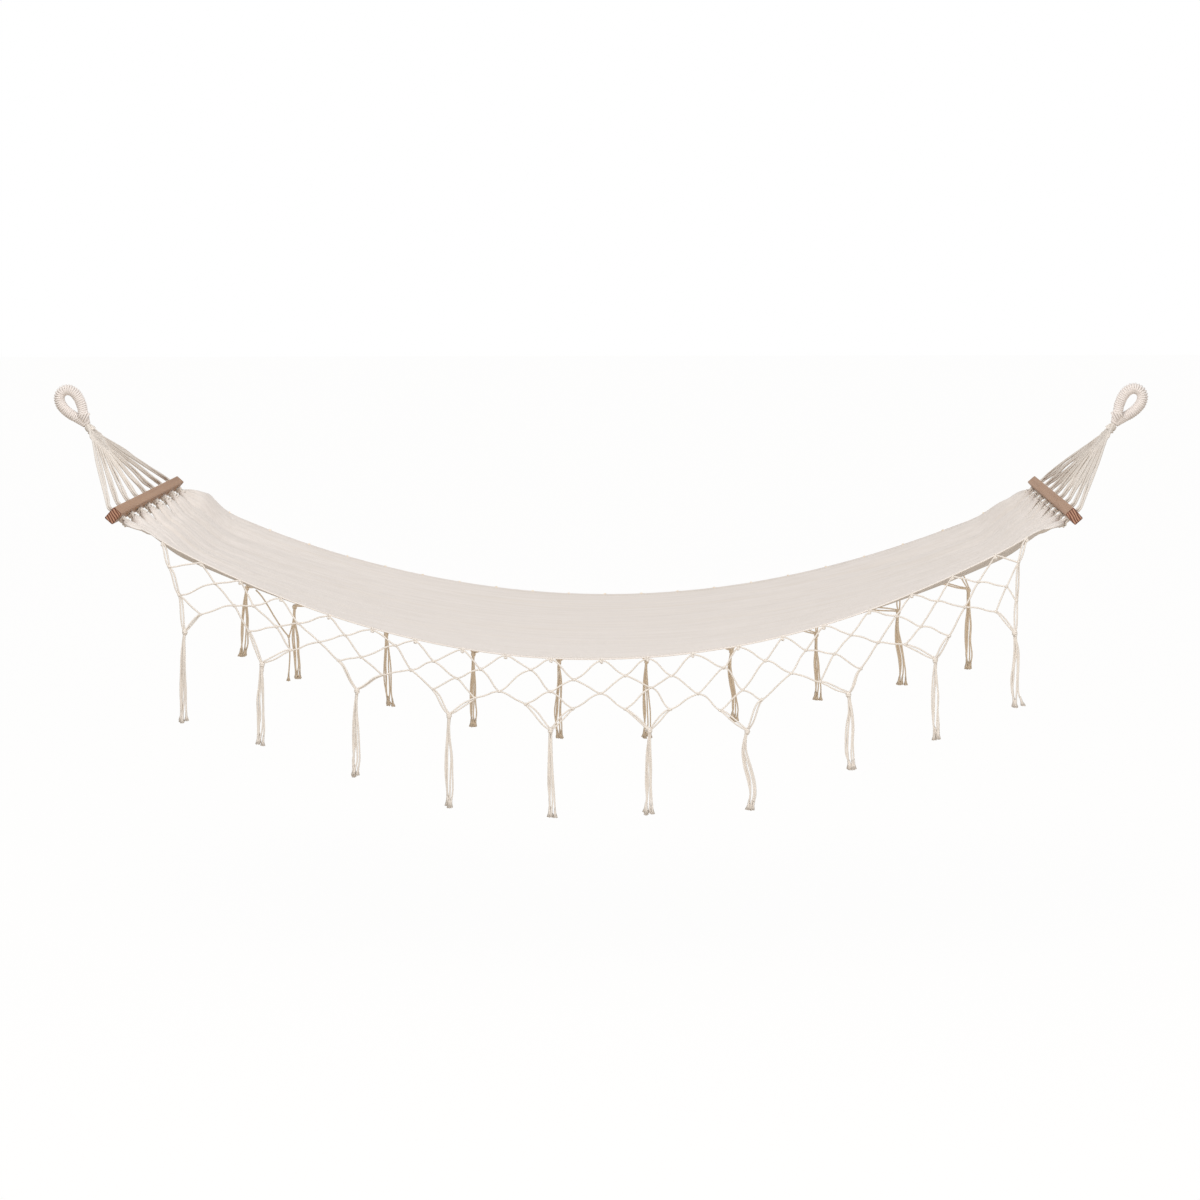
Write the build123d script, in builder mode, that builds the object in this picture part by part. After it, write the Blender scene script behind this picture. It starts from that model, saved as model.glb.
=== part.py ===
from build123d import *
from math import asin, atan2, cos, degrees, hypot, pi, radians, sin, sqrt, tan
import os

# A fringed canvas hammock with two spreader bars, hung from a hook at each end.
# Lengths are in mm. The origin is where the left hook bears on the left eye.
# +X runs along the hammock to the right eye, +Y to its rear edge, +Z up.

# Where the hammock hangs
HOOK_SPAN = 2680
BAR_DROP = 263
BAR_SPAN = 2282

# Hanging eyes: a teardrop of cord bundle, served with cord
EYE_TILT = 55
EYE_HOLE_R = 17.5
EYE_HOLE_REACH = 73
EYE_OPENING = 51.5
CORE_D = 18.6
SERVING_D = 3.2
SERVING_TURNS = 24
SERVING_END_SPACE = 11
LEAST_GAP = 0.4

# Seizing that closes the eye, and the ball that it swings on
THROAT_R = 9
SWING_CLEARANCE = 0.5

# The seizing's half width and half depth at heights above the ball's centre
SEIZING_LEVELS = [
    (20, 18, 12),
    (8, 11, 10),
    (0, THROAT_R, THROAT_R),
]

# Clew: the woven head of the fan and its cords
NECK_R = 10
NECK_START = 5
NECK_LENGTH = 20
WEAVE_REACH = 84
WEAVE_THICKNESS = 10
WEAVE_SPREAD = 62
CORD_D = 4.5
CORD_SPACING = 4.8
CORD_BITE = 3
CORD_LEAD = 12

# Spreader bars
BAR_LENGTH = 800
BAR_HEIGHT = 35
BAR_THICKNESS = 25
BAR_TILT = 42
BAR_ROUNDING = 3
HOLE_COUNT = 8
HOLE_D = 13
HOLE_EDGE = 40

# Knots under each bar
KNOT_R = 11
KNOT_LENGTH = 16
KNOT_FACE_R = 7.5

# Bed: one sheet that sags between the bars
BED_WIDTH = 1000
CLOTH_THICKNESS = 2.5
NET_REACH = 1015
CLOTH_REACH = 1075
CLOTH_END_WIDTH = 840
FRONT_SAG = 327
FRONT_END_SAG = 43
REAR_SAG = 309
REAR_END_SAG = 92
FRONT_CORNER_DROP = 20
REAR_CORNER_DROP = 45
CORNER_TROUGH = 22
CORNER_FOLD = 14

# The bed's trough depth and fold height at shares of the reach of its net
BED_STATIONS = [
    (0.0, 28, 2.0),
    (0.35, 32, 2.5),
    (0.70, 44, 4.0),
    (0.88, 55, 7.0),
    (1.0, 58, 11.0),
]

# Gathered tongues between the bed and the knots
TONGUE_MID_WIDTH = 42
TONGUE_MID_THICKNESS = 8
TONGUE_END_WIDTH = 13
TONGUE_END_THICKNESS = 10
TONGUE_MID_SHARE = 0.55
TONGUE_SWELL = 1.5

# Fringe nets
EDGE_KNOTS = 21
NET_CORD_D = 3.5
NET_LEG_D = 5
NET_KNOT_R = 4.5
ROW_DEPTHS = [38, 76, 113]
NET_SPREAD = 0.0004

# How far each net's knots have slipped along the bed, at places counted in knots
FRONT_DRIFT = [(0, 6), (5, 13), (10, 27), (18, 26), (20, 0)]
REAR_DRIFT = [(0, 0), (20, 0)]

# Tassels: each one's place in knots, its depth below the edge, and its length
FRONT_TASSELS = [
    (1.15, 159, 212),
    (2.9, 159, 188),
    (4.95, 150, 201),
    (6.9, 161, 217),
    (8.95, 171, 208),
    (11.0, 174, 197),
    (13.0, 202, 182),
    (15.2, 170, 174),
    (17.1, 158, 184),
    (18.95, 174, 170),
]
REAR_TASSELS = [
    (1.0, 162, 183),
    (2.3, 167, 194),
    (4.6, 174, 194),
    (6.8, 187, 196),
    (8.9, 189, 207),
    (11.0, 184, 210),
    (13.05, 176, 188),
    (15.15, 168, 174),
    (17.2, 162, 195),
    (19.0, 164, 212),
]
TASSEL_KNOT_R = 6.5
TASSEL_KNOT_LENGTH = 10
TASSEL_CLEARANCE = 0.5
STRAND_D = 4
STRAND_SPACING = 4.4
STRAND_SWELL = 6.5
STRAND_FLARE = 12

os.makedirs("parts", exist_ok=True)
MID_X = HOOK_SPAN / 2
MIDDLE = Plane.YZ.offset(MID_X)
ROPE_D = CORE_D + 2 * SERVING_D


def write(piece, name):
    piece.label = name
    export_step(piece, f"parts/{name}.step")


def write_pair(piece, name):
    """One end's piece, and its mirror image at the other end."""
    write(piece, f"left_{name}")
    with BuildPart() as other:
        mirror(piece, about=MIDDLE)
    write(other.part, f"right_{name}")


# The line of pull at the left end: bearing point, eye, throat, bar
EYE_UP = Vector(-cos(radians(EYE_TILT)), 0, sin(radians(EYE_TILT)))
CROWN = -EYE_UP * EYE_HOLE_R
THROAT = CROWN - EYE_UP * EYE_HOLE_REACH
BAR_CENTRE = Vector(MID_X - BAR_SPAN / 2, 0, -BAR_DROP)
CLEW_DOWN = (BAR_CENTRE - THROAT).normalized()
CLEW_LENGTH = (BAR_CENTRE - THROAT).length
BAR_DOWN = Vector(cos(radians(BAR_TILT)), 0, -sin(radians(BAR_TILT)))
CROSS = Vector(0, 1, 0)

EYE_PLANE = Plane(origin=CROWN, x_dir=CROSS.cross(EYE_UP), z_dir=-CROSS)
CLEW_PLANE = Plane(origin=THROAT, x_dir=CROSS, z_dir=CROSS.cross(CLEW_DOWN))
BAR_PLANE = Plane(origin=BAR_CENTRE, x_dir=CROSS, z_dir=BAR_DOWN)

# Holes along the bar
HOLE_PITCH = (BAR_LENGTH - 2 * HOLE_EDGE) / (HOLE_COUNT - 1)
HOLE_OFFSETS = [HOLE_PITCH * (k - (HOLE_COUNT - 1) / 2) for k in range(HOLE_COUNT)]


# The eye's centre line, in the eye's plane with the crown's centre as origin
CROWN_R = EYE_HOLE_R + ROPE_D / 2
LEG_SLANT = asin(CROWN_R / EYE_HOLE_REACH)
LEG_TOP = Vector(CROWN_R * cos(LEG_SLANT), -CROWN_R * sin(LEG_SLANT))
SEIZING_TOP = -(EYE_OPENING - EYE_HOLE_R)
LEG_END = LEG_TOP + Vector(-sin(LEG_SLANT), -cos(LEG_SLANT)) * (
    (LEG_TOP.Y - SEIZING_TOP) / cos(LEG_SLANT)
)
LEG_LENGTH = (LEG_END - LEG_TOP).length
CROWN_SWEEP = pi + 2 * LEG_SLANT


def eye_line(along):
    """A point of the eye's centre line, its direction, its outward side and its curvature."""
    crown_end = LEG_LENGTH + CROWN_R * CROWN_SWEEP
    if along < LEG_LENGTH:
        turned, over = 0, along - LEG_LENGTH
    elif along > crown_end:
        turned, over = CROWN_SWEEP, along - crown_end
    else:
        turned, over = (along - LEG_LENGTH) / CROWN_R, 0
    angle = turned - LEG_SLANT
    outward = Vector(cos(angle), sin(angle))
    forward = Vector(-sin(angle), cos(angle))
    curved = LEG_LENGTH <= along <= crown_end
    return outward * CROWN_R + forward * over, forward, outward, 1 / CROWN_R if curved else 0


def in_eye(point, depth=0.0):
    return EYE_PLANE.from_local_coords(Vector(point.X, point.Y, depth))


def eye_core():
    with BuildPart() as core:
        with BuildLine(EYE_PLANE) as path:
            Line((LEG_END.X, LEG_END.Y), (LEG_TOP.X, LEG_TOP.Y))
            ThreePointArc(
                (LEG_TOP.X, LEG_TOP.Y),
                (CROWN_R * cos(radians(45)), CROWN_R * sin(radians(45))),
                (0, CROWN_R),
            )
            ThreePointArc(
                (0, CROWN_R),
                (-CROWN_R * cos(radians(45)), CROWN_R * sin(radians(45))),
                (-LEG_TOP.X, LEG_TOP.Y),
            )
            Line((-LEG_TOP.X, LEG_TOP.Y), (-LEG_END.X, LEG_END.Y))
        with BuildSketch(Plane(origin=path.line @ 0, z_dir=path.line % 0)):
            Circle(CORE_D / 2)
        sweep(path=path.line)
        top = EYE_PLANE.from_local_coords(Vector(0, SEIZING_TOP, 0))
        split(bisect_by=Plane(origin=top, z_dir=EYE_UP), keep=Keep.TOP)
    return core.part


def biarc(start, start_way, end, end_way):
    """The point where two tangent arcs from start to end meet, and the direction there."""
    gap = end - start
    ways = start_way + end_way
    a = 2 * (1 - start_way.dot(end_way))
    b = 2 * gap.dot(ways)
    reach = (-b + sqrt(b * b + 4 * a * gap.dot(gap))) / (2 * a)
    near, far = start + start_way * reach, end - end_way * reach
    return (near + far) / 2, (far - near).normalized()


def least_gap(line, thickness, turn_length):
    """The least space between stretches of one line that are over half a turn apart."""
    count = int(line.length / 2)
    points = [line @ (i / count) for i in range(count + 1)]
    skip = int(0.55 * turn_length / line.length * count)
    far = 2.2 * turn_length / line.length * count
    best = line.length
    for i, point in enumerate(points):
        for other in points[i + skip : i + int(far)]:
            best = min(best, (point - other).length)
    return best - thickness


def eye_serving():
    """The cord wound round the eye: one tube, each half turn a pair of arcs."""
    radius = (CORE_D + SERVING_D) / 2
    total = 2 * LEG_LENGTH + CROWN_R * CROWN_SWEEP
    pitch = (total - 2 * SERVING_END_SPACE) / SERVING_TURNS
    points, ways = [], []
    for half in range(2 * SERVING_TURNS + 1):
        turned = pi * half
        centre, forward, outward, curvature = eye_line(SERVING_END_SPACE + pitch * half / 2)
        side, rise = cos(turned), sin(turned)
        points.append(in_eye(centre + outward * radius * side, radius * rise))
        advance = forward * (1 + curvature * radius * side) * pitch / (2 * pi)
        flat = advance - outward * radius * rise
        way = EYE_PLANE.x_dir * flat.X + EYE_PLANE.y_dir * flat.Y
        ways.append((way + EYE_PLANE.z_dir * radius * side).normalized())
    with BuildPart() as serving:
        with BuildLine() as path:
            Line(points[0] - ways[0] * SERVING_D, points[0])
            for half in range(2 * SERVING_TURNS):
                start, end = points[half], points[half + 1]
                joint, joint_way = biarc(start, ways[half], end, ways[half + 1])
                TangentArc(start, joint, tangent=ways[half])
                TangentArc(joint, end, tangent=joint_way)
            Line(points[-1], points[-1] + ways[-1] * SERVING_D)
        with BuildSketch(Plane(origin=path.line @ 0, z_dir=path.line % 0)):
            Circle(SERVING_D / 2)
        sweep(path=path.line)
    wire = path.wire()
    gap = least_gap(wire, SERVING_D, 2 * pi * radius)
    print("eye serving: least gap", round(gap, 2), "length", round(wire.length))
    assert gap > LEAST_GAP
    return serving.part


def eye_seizing():
    """The bound throat of the eye, from its two legs down to the ball it swings on."""
    widest = LEG_END.X + ROPE_D / 2 / cos(LEG_SLANT)
    top = (EYE_HOLE_REACH + SEIZING_TOP, widest, ROPE_D / 2)
    with BuildPart() as seizing:
        for height, half_width, half_depth in [top, *SEIZING_LEVELS]:
            centre = THROAT + EYE_UP * height
            with BuildSketch(Plane(origin=centre, x_dir=EYE_PLANE.x_dir, z_dir=EYE_UP)):
                Ellipse(half_width, half_depth)
        loft()
        with Locations(Location(THROAT)):
            Sphere(THROAT_R)
    return seizing.part


def clew_weave():
    """The neck below the throat, and the woven head of the fan that it widens into."""
    edge = WEAVE_REACH / cos(radians(WEAVE_SPREAD))
    half_width = edge * sin(radians(WEAVE_SPREAD))
    with BuildPart() as weave:
        with BuildSketch(CLEW_PLANE):
            Circle(WEAVE_REACH)
            with BuildLine():
                Polyline((0, 0), (half_width, WEAVE_REACH), (-half_width, WEAVE_REACH), close=True)
            make_face(mode=Mode.INTERSECT)
        extrude(amount=WEAVE_THICKNESS / 2, both=True)
        neck_top = THROAT + CLEW_DOWN * NECK_START
        with BuildSketch(Plane(origin=neck_top, x_dir=CROSS, z_dir=CLEW_DOWN)):
            Circle(NECK_R)
        extrude(amount=NECK_LENGTH)
        with Locations(Location(THROAT)):
            Sphere(THROAT_R + SWING_CLEARANCE, mode=Mode.SUBTRACT)
    return weave.part


def clew_cord(hole, across, through):
    """One cord from the woven head, round the mouth of its hole, and through the bar."""
    reach = CROSS * (hole + across)
    lead = BAR_DOWN * (BAR_THICKNESS / 2 + CORD_LEAD)
    mouth = BAR_CENTRE + reach - lead
    aim = (BAR_CENTRE + CROSS * hole - lead - THROAT).normalized()
    sideways = (CROSS - aim * CROSS.dot(aim)).normalized()
    stack = CLEW_PLANE.z_dir * through
    hole_way = CROSS.cross(BAR_DOWN) * through
    head = THROAT + aim * (WEAVE_REACH - CORD_BITE)
    start = head + sideways * across + stack
    corner = mouth + (stack + hole_way) / 2
    end = BAR_CENTRE + reach + BAR_DOWN * BAR_THICKNESS / 2 + hole_way
    turn = (corner - start).get_angle(end - corner)
    run = min((corner - start).length, (end - corner).length)
    radius = 0.45 * run / tan(radians(turn / 2))
    with BuildPart() as cord:
        with BuildLine() as path:
            FilletPolyline(start, corner, end, radius=radius)
        with BuildSketch(Plane(origin=path.line @ 0, z_dir=path.line % 0)):
            Circle(CORD_D / 2)
        sweep(path=path.line)
    return cord.part


def clew_cords():
    half = CORD_SPACING / 2
    with BuildPart() as cords:
        for hole in HOLE_OFFSETS:
            for across in (-half, half):
                for through in (-half, half):
                    add(clew_cord(hole, across, through))
    return cords.part


def spreader_bar():
    with BuildPart() as bar:
        with BuildSketch(BAR_PLANE):
            Rectangle(BAR_LENGTH, BAR_HEIGHT)
        extrude(amount=BAR_THICKNESS / 2, both=True)
        long_edges = bar.edges().filter_by(Axis.Y)
        fillet(long_edges, BAR_ROUNDING)
        with Locations(BAR_PLANE):
            with Locations(*[(offset, 0) for offset in HOLE_OFFSETS]):
                Cylinder(HOLE_D / 2, 2 * BAR_THICKNESS, mode=Mode.SUBTRACT)
    return bar.part


def bar_knots():
    """A barrel knot at the mouth of each hole, against the bar's lower face."""
    with BuildPart() as knots:
        for offset in HOLE_OFFSETS:
            foot = BAR_CENTRE + CROSS * offset + BAR_DOWN * BAR_THICKNESS / 2
            with BuildSketch(Plane(origin=foot, x_dir=CROSS, z_dir=BAR_DOWN.cross(CROSS))):
                with BuildLine():
                    Line((0, 0), (KNOT_FACE_R, 0))
                    ThreePointArc(
                        (KNOT_FACE_R, 0),
                        (KNOT_R, -KNOT_LENGTH / 2),
                        (KNOT_FACE_R, -KNOT_LENGTH),
                    )
                    Line((KNOT_FACE_R, -KNOT_LENGTH), (0, -KNOT_LENGTH))
                    Line((0, -KNOT_LENGTH), (0, 0))
                make_face()
            revolve(axis=Axis(foot, BAR_DOWN))
    return knots.part


def edge_height(sag, end_sag, x):
    """The height of one edge of the bed at a distance x from its middle."""
    return -BAR_DROP - sag + (sag - end_sag) * (x / NET_REACH) ** 2


def lobe_points(half_width, front, rear, trough):
    """Where the bed's folds meet, across one section: (y, z) from front to rear."""
    points = []
    for k in range(HOLE_COUNT + 1):
        share = k / HOLE_COUNT
        bow = 1 - (2 * share - 1) ** 2
        points.append(((2 * share - 1) * half_width, front + (rear - front) * share - trough * bow))
    return points


def crest(one, other, rise):
    return (one[0] + other[0]) / 2, (one[1] + other[1]) / 2 + rise


def bed_section(x, points, fold):
    """One section of the cloth: an arc over each fold, and the same arcs below."""
    lower = [(y, z - CLOTH_THICKNESS) for y, z in points]
    with BuildSketch(MIDDLE.offset(x)) as section:
        with BuildLine():
            for one, other in zip(points, points[1:]):
                ThreePointArc(one, crest(one, other, fold), other)
            Line(points[-1], lower[-1])
            for one, other in zip(lower[::-1], lower[-2::-1]):
                ThreePointArc(one, crest(one, other, fold), other)
            Line(lower[0], points[0])
        make_face()
    return section.sketch


def net_section(x, trough, fold):
    front = edge_height(FRONT_SAG, FRONT_END_SAG, x)
    rear = edge_height(REAR_SAG, REAR_END_SAG, x)
    return bed_section(x, lobe_points(BED_WIDTH / 2, front, rear, trough), fold)


CORNER_POINTS = lobe_points(
    CLOTH_END_WIDTH / 2,
    -BAR_DROP - FRONT_CORNER_DROP,
    -BAR_DROP - REAR_CORNER_DROP,
    CORNER_TROUGH,
)


def bed_cloth():
    stations = [(-share, trough, fold) for share, trough, fold in BED_STATIONS[:0:-1]]
    stations += BED_STATIONS
    sections = [net_section(share * NET_REACH, trough, fold) for share, trough, fold in stations]
    with BuildPart() as cloth:
        loft(sections)
        for side, net_end in ((-1, sections[0]), (1, sections[-1])):
            corner = bed_section(side * CLOTH_REACH, CORNER_POINTS, CORNER_FOLD)
            loft([net_end, corner], ruled=True)
    return cloth.part


def bar_tongues():
    """The gathered ends of the cloth, one from each fold to the knot at its hole."""
    end_x = MID_X - CLOTH_REACH
    foot = BAR_DOWN * (BAR_THICKNESS / 2 + KNOT_LENGTH)
    with BuildPart() as tongues:
        for offset, one, other in zip(HOLE_OFFSETS, CORNER_POINTS, CORNER_POINTS[1:]):
            with BuildSketch(Plane.YZ.offset(end_x)):
                with BuildLine():
                    low_one = (one[0], one[1] - CLOTH_THICKNESS)
                    low_other = (other[0], other[1] - CLOTH_THICKNESS)
                    ThreePointArc(one, crest(one, other, CORNER_FOLD), other)
                    Line(other, low_other)
                    ThreePointArc(low_other, crest(low_one, low_other, CORNER_FOLD), low_one)
                    Line(low_one, one)
                make_face()
            start = Vector(end_x, *crest(one, other, CORNER_FOLD / 2))
            end = BAR_CENTRE + CROSS * offset + foot
            middle = start + (end - start) * TONGUE_MID_SHARE
            slope = degrees(atan2(other[1] - one[1], other[0] - one[0])) / 2
            for centre, width, thickness, turn in (
                (middle, TONGUE_MID_WIDTH, TONGUE_MID_THICKNESS, slope),
                (end, TONGUE_END_WIDTH, TONGUE_END_THICKNESS, 0),
            ):
                way = BAR_DOWN if centre is end else Vector(1, 0, 0)
                plane = Plane(origin=centre, x_dir=CROSS, z_dir=way).rotated((0, 0, turn))
                half, top = width / 2, thickness / 2
                with BuildSketch(plane):
                    with BuildLine():
                        ThreePointArc((-half, top), (0, top * TONGUE_SWELL), (half, top))
                        Line((half, top), (half, -top))
                        ThreePointArc((half, -top), (0, -top * TONGUE_SWELL), (-half, -top))
                        Line((-half, -top), (-half, top))
                    make_face()
            loft()
    return tongues.part


def slip(stations, step):
    """How far a knot has slipped along the bed, read between the stations."""
    for (one, low), (other, high) in zip(stations, stations[1:]):
        if step <= other:
            return low + (high - low) * (step - one) / (other - one)


def even_places(sag, end_sag):
    """Equal steps along one edge of the bed: a function from a step to its x."""
    count = 400
    xs = [NET_REACH * (2 * i / count - 1) for i in range(count + 1)]
    heights = [edge_height(sag, end_sag, x) for x in xs]
    walked = [0.0]
    for i in range(count):
        walked.append(walked[-1] + hypot(xs[i + 1] - xs[i], heights[i + 1] - heights[i]))

    def place(step):
        target = walked[-1] * step / (EDGE_KNOTS - 1)
        i = max(k for k in range(count) if walked[k] <= target)
        part = (target - walked[i]) / (walked[i + 1] - walked[i])
        return xs[i] + (xs[i + 1] - xs[i]) * min(part, 1)

    return place


def net_places(sag, end_sag, drift, tassels):
    """The net's knots, row by row, and its tassel knots, as (X, Z)."""
    place = even_places(sag, end_sag)

    def knot(step, depth):
        x = place(step) + slip(drift, step)
        height = edge_height(sag, end_sag, x) - depth
        return MID_X + x * (1 + NET_SPREAD * depth), height - CLOTH_THICKNESS / 2

    rows = [[knot(i, 0) for i in range(EDGE_KNOTS)]]
    for level, depth in enumerate(ROW_DEPTHS, start=1):
        rows.append([knot(i + level / 2, depth) for i in range(EDGE_KNOTS - level)])
    return rows, [knot(step, depth) for step, depth, _ in tassels]


def net_strands(rows, tassels):
    """Every strand of the net as (one end, other end, width)."""
    strands = []
    for upper, lower in zip(rows, rows[1:]):
        for i, knot in enumerate(lower):
            strands.append((upper[i], knot, NET_CORD_D))
            strands.append((upper[i + 1], knot, NET_CORD_D))
    feet = rows[-1]
    pairs = [(rows[-2][0], feet[0])]
    pairs += [(feet[2 * j - 1], feet[2 * j]) for j in range(1, len(tassels) - 1)]
    pairs += [(feet[-1], rows[-2][-1])]
    for tassel, pair in zip(tassels, pairs):
        strands += [(foot, tassel, NET_LEG_D) for foot in pair]
    return strands


def fringe_net(plane, rows, tassels, outward):
    """A flat net: one face with a hole for each mesh, as thick as its cord."""
    bars = []
    for one, other, width in net_strands(rows, tassels):
        middle = ((one[0] + other[0]) / 2, (one[1] + other[1]) / 2)
        length = hypot(other[0] - one[0], other[1] - one[1])
        turn = degrees(atan2(other[1] - one[1], other[0] - one[0]))
        bars.append(Location(middle, turn) * Rectangle(length, width))
    bars += [Location(knot) * Circle(NET_KNOT_R) for row in rows for knot in row]
    with BuildPart() as net:
        with BuildSketch(plane):
            add(bars)
            with Locations(*tassels):
                Circle(TASSEL_KNOT_R + TASSEL_CLEARANCE, mode=Mode.SUBTRACT)
        extrude(amount=outward)
    return net.part


def tassel(knot, y, length):
    """A barrel knot and the strands that hang from it."""
    centre = Vector(knot[0], y, knot[1])
    half = TASSEL_KNOT_LENGTH / 2
    round_r = TASSEL_KNOT_R
    low = -length
    with BuildPart() as bundle:
        with Locations(Location(centre)):
            Cylinder(STRAND_SPACING, TASSEL_KNOT_LENGTH)
            Sphere(round_r)
        for side in (-1, 1):
            for face in (-1, 1):
                top = STRAND_SPACING / 2
                swell = STRAND_SWELL / 2
                flare = STRAND_FLARE / 2
                with BuildLine() as path:
                    FilletPolyline(
                        centre + Vector(side * top, face * top, -half + 1),
                        centre + Vector(side * top, face * top, -half - STRAND_D),
                        centre + Vector(side * swell, face * swell * 0.8, low * 0.45),
                        centre + Vector(side * swell * 0.9, face * top, low * 0.8),
                        centre + Vector(side * flare, face * swell, low),
                        radius=[20, 60, 60],
                    )
                with BuildSketch(Plane(origin=path.line @ 0, z_dir=path.line % 0)):
                    Circle(STRAND_D / 2)
                sweep(path=path.line)
    return bundle.part


write_pair(eye_core(), "eye_core")
write_pair(eye_serving(), "eye_serving")
write_pair(eye_seizing(), "eye_seizing")
write_pair(clew_weave(), "clew_weave")
write_pair(clew_cords(), "clew_cords")
write_pair(spreader_bar(), "spreader_bar")
write_pair(bar_knots(), "bar_knots")
write_pair(bar_tongues(), "bed_tongues")
write(bed_cloth(), "bed_cloth")

SIDES = {
    "front": (-1, FRONT_SAG, FRONT_END_SAG, FRONT_DRIFT, FRONT_TASSELS),
    "rear": (1, REAR_SAG, REAR_END_SAG, REAR_DRIFT, REAR_TASSELS),
}
for side_name, (side, *edge_shape, tassel_places) in SIDES.items():
    edge_y = side * BED_WIDTH / 2
    net_rows, tassel_knots = net_places(*edge_shape, tassel_places)
    net_plane = Plane.XZ.offset(-edge_y)
    write(fringe_net(net_plane, net_rows, tassel_knots, -side * NET_CORD_D), f"{side_name}_fringe_net")
    for number, (knot, (_, _, length)) in enumerate(zip(tassel_knots, tassel_places), start=1):
        bundle = tassel(knot, edge_y + side * NET_CORD_D / 2, length)
        write(bundle, f"{side_name}_tassel_{number:02d}")
    print(side_name, "tassel knots", [(round(x, 2), round(z, 2)) for x, z in tassel_knots])
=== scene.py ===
from math import ceil, cos, exp, pi, radians, sin

import bmesh
import bpy
import numpy as np
from mathutils import Matrix, Vector, noise

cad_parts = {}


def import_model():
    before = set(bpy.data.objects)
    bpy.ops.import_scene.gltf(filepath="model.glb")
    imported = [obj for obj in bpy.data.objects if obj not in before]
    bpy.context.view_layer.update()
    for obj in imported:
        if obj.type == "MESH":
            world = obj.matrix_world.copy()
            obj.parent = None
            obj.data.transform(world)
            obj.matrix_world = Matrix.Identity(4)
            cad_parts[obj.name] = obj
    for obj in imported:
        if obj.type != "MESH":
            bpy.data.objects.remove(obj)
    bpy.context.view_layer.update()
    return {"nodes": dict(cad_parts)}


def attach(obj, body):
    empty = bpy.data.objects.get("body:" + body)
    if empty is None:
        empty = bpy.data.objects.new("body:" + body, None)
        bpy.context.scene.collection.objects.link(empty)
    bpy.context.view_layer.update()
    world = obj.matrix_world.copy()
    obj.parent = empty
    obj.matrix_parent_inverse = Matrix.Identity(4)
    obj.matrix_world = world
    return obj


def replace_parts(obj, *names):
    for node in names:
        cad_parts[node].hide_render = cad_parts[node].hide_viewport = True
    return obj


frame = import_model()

# A fringed canvas hammock, dressed. Metres, in the CAD's frame: the origin is where the
# left hook bears, +X runs to the right eye, +Y to the rear edge, +Z up.
# "Bar level" heights below are measured from the spreader bars' centres, and "middle"
# lengths from the hammock's middle.

rng = np.random.default_rng(7)

# Where the hammock hangs, as in the CAD
HOOK_SPAN = 2.680
MIDDLE_X = HOOK_SPAN / 2
BAR_DROP = 0.263
BAR_REACH = 1.141
BAR_TILT = radians(42)
BAR_THICKNESS = 0.025
HOLE_REACH = 0.360
HOLE_COUNT = 8

# Eyes: the slope of their pull, the hook to the crown's centre, and the crown's centre to the throat
EYE_TILT = radians(55)
CROWN_REACH = 0.0175
THROAT_REACH = 0.073
ROPE_R = 0.0140
SERVING_R = 0.0027
SERVING_TURNS = 38

# Bed
BED_HALF = 0.5
NET_REACH = 1.015
CLOTH_REACH = 1.075
CLOTH_END_HALF = 0.42
FRONT_SAG, FRONT_END_SAG, FRONT_CORNER = 0.327, 0.043, 0.020
REAR_SAG, REAR_END_SAG, REAR_CORNER = 0.309, 0.092, 0.045
CLOTH_T = 0.0024

# Camera, fitted to the photograph
IMAGE_SIDE = 1200
FOCAL_PIXELS = 2806.4
SENSOR = 36.0
CAMERA_AT = (1.6241, -7.016, 0.4502)
CAMERA_PITCH = 0.1372
CAMERA_YAW = -0.0396
CAMERA_ROLL = -0.0038


# Camera

def make_camera():
    """The photograph's camera, turned by its yaw, pitch and roll."""
    right = np.array((cos(CAMERA_YAW), -sin(CAMERA_YAW), 0))
    level = np.array((sin(CAMERA_YAW), cos(CAMERA_YAW), 0))
    forward = level * cos(CAMERA_PITCH) - np.array((0, 0, sin(CAMERA_PITCH)))
    up = level * sin(CAMERA_PITCH) + np.array((0, 0, cos(CAMERA_PITCH)))
    rolled_right = right * cos(CAMERA_ROLL) + up * sin(CAMERA_ROLL)
    rolled_up = up * cos(CAMERA_ROLL) - right * sin(CAMERA_ROLL)
    data = bpy.data.cameras.new("camera")
    data.sensor_width = SENSOR
    data.lens = SENSOR * FOCAL_PIXELS / IMAGE_SIDE
    camera = bpy.data.objects.new("camera", data)
    bpy.context.scene.collection.objects.link(camera)
    axes = np.column_stack((rolled_right, rolled_up, -forward))
    camera.matrix_world = Matrix.Translation(CAMERA_AT) @ Matrix(axes.tolist()).to_4x4()
    bpy.context.scene.camera = camera


# Materials

def linear(red, green, blue):
    """A colour given in display values, as the shader wants it."""
    return tuple(((c / 255 + 0.055) / 1.055) ** 2.4 for c in (red, green, blue)) + (1,)


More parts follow.
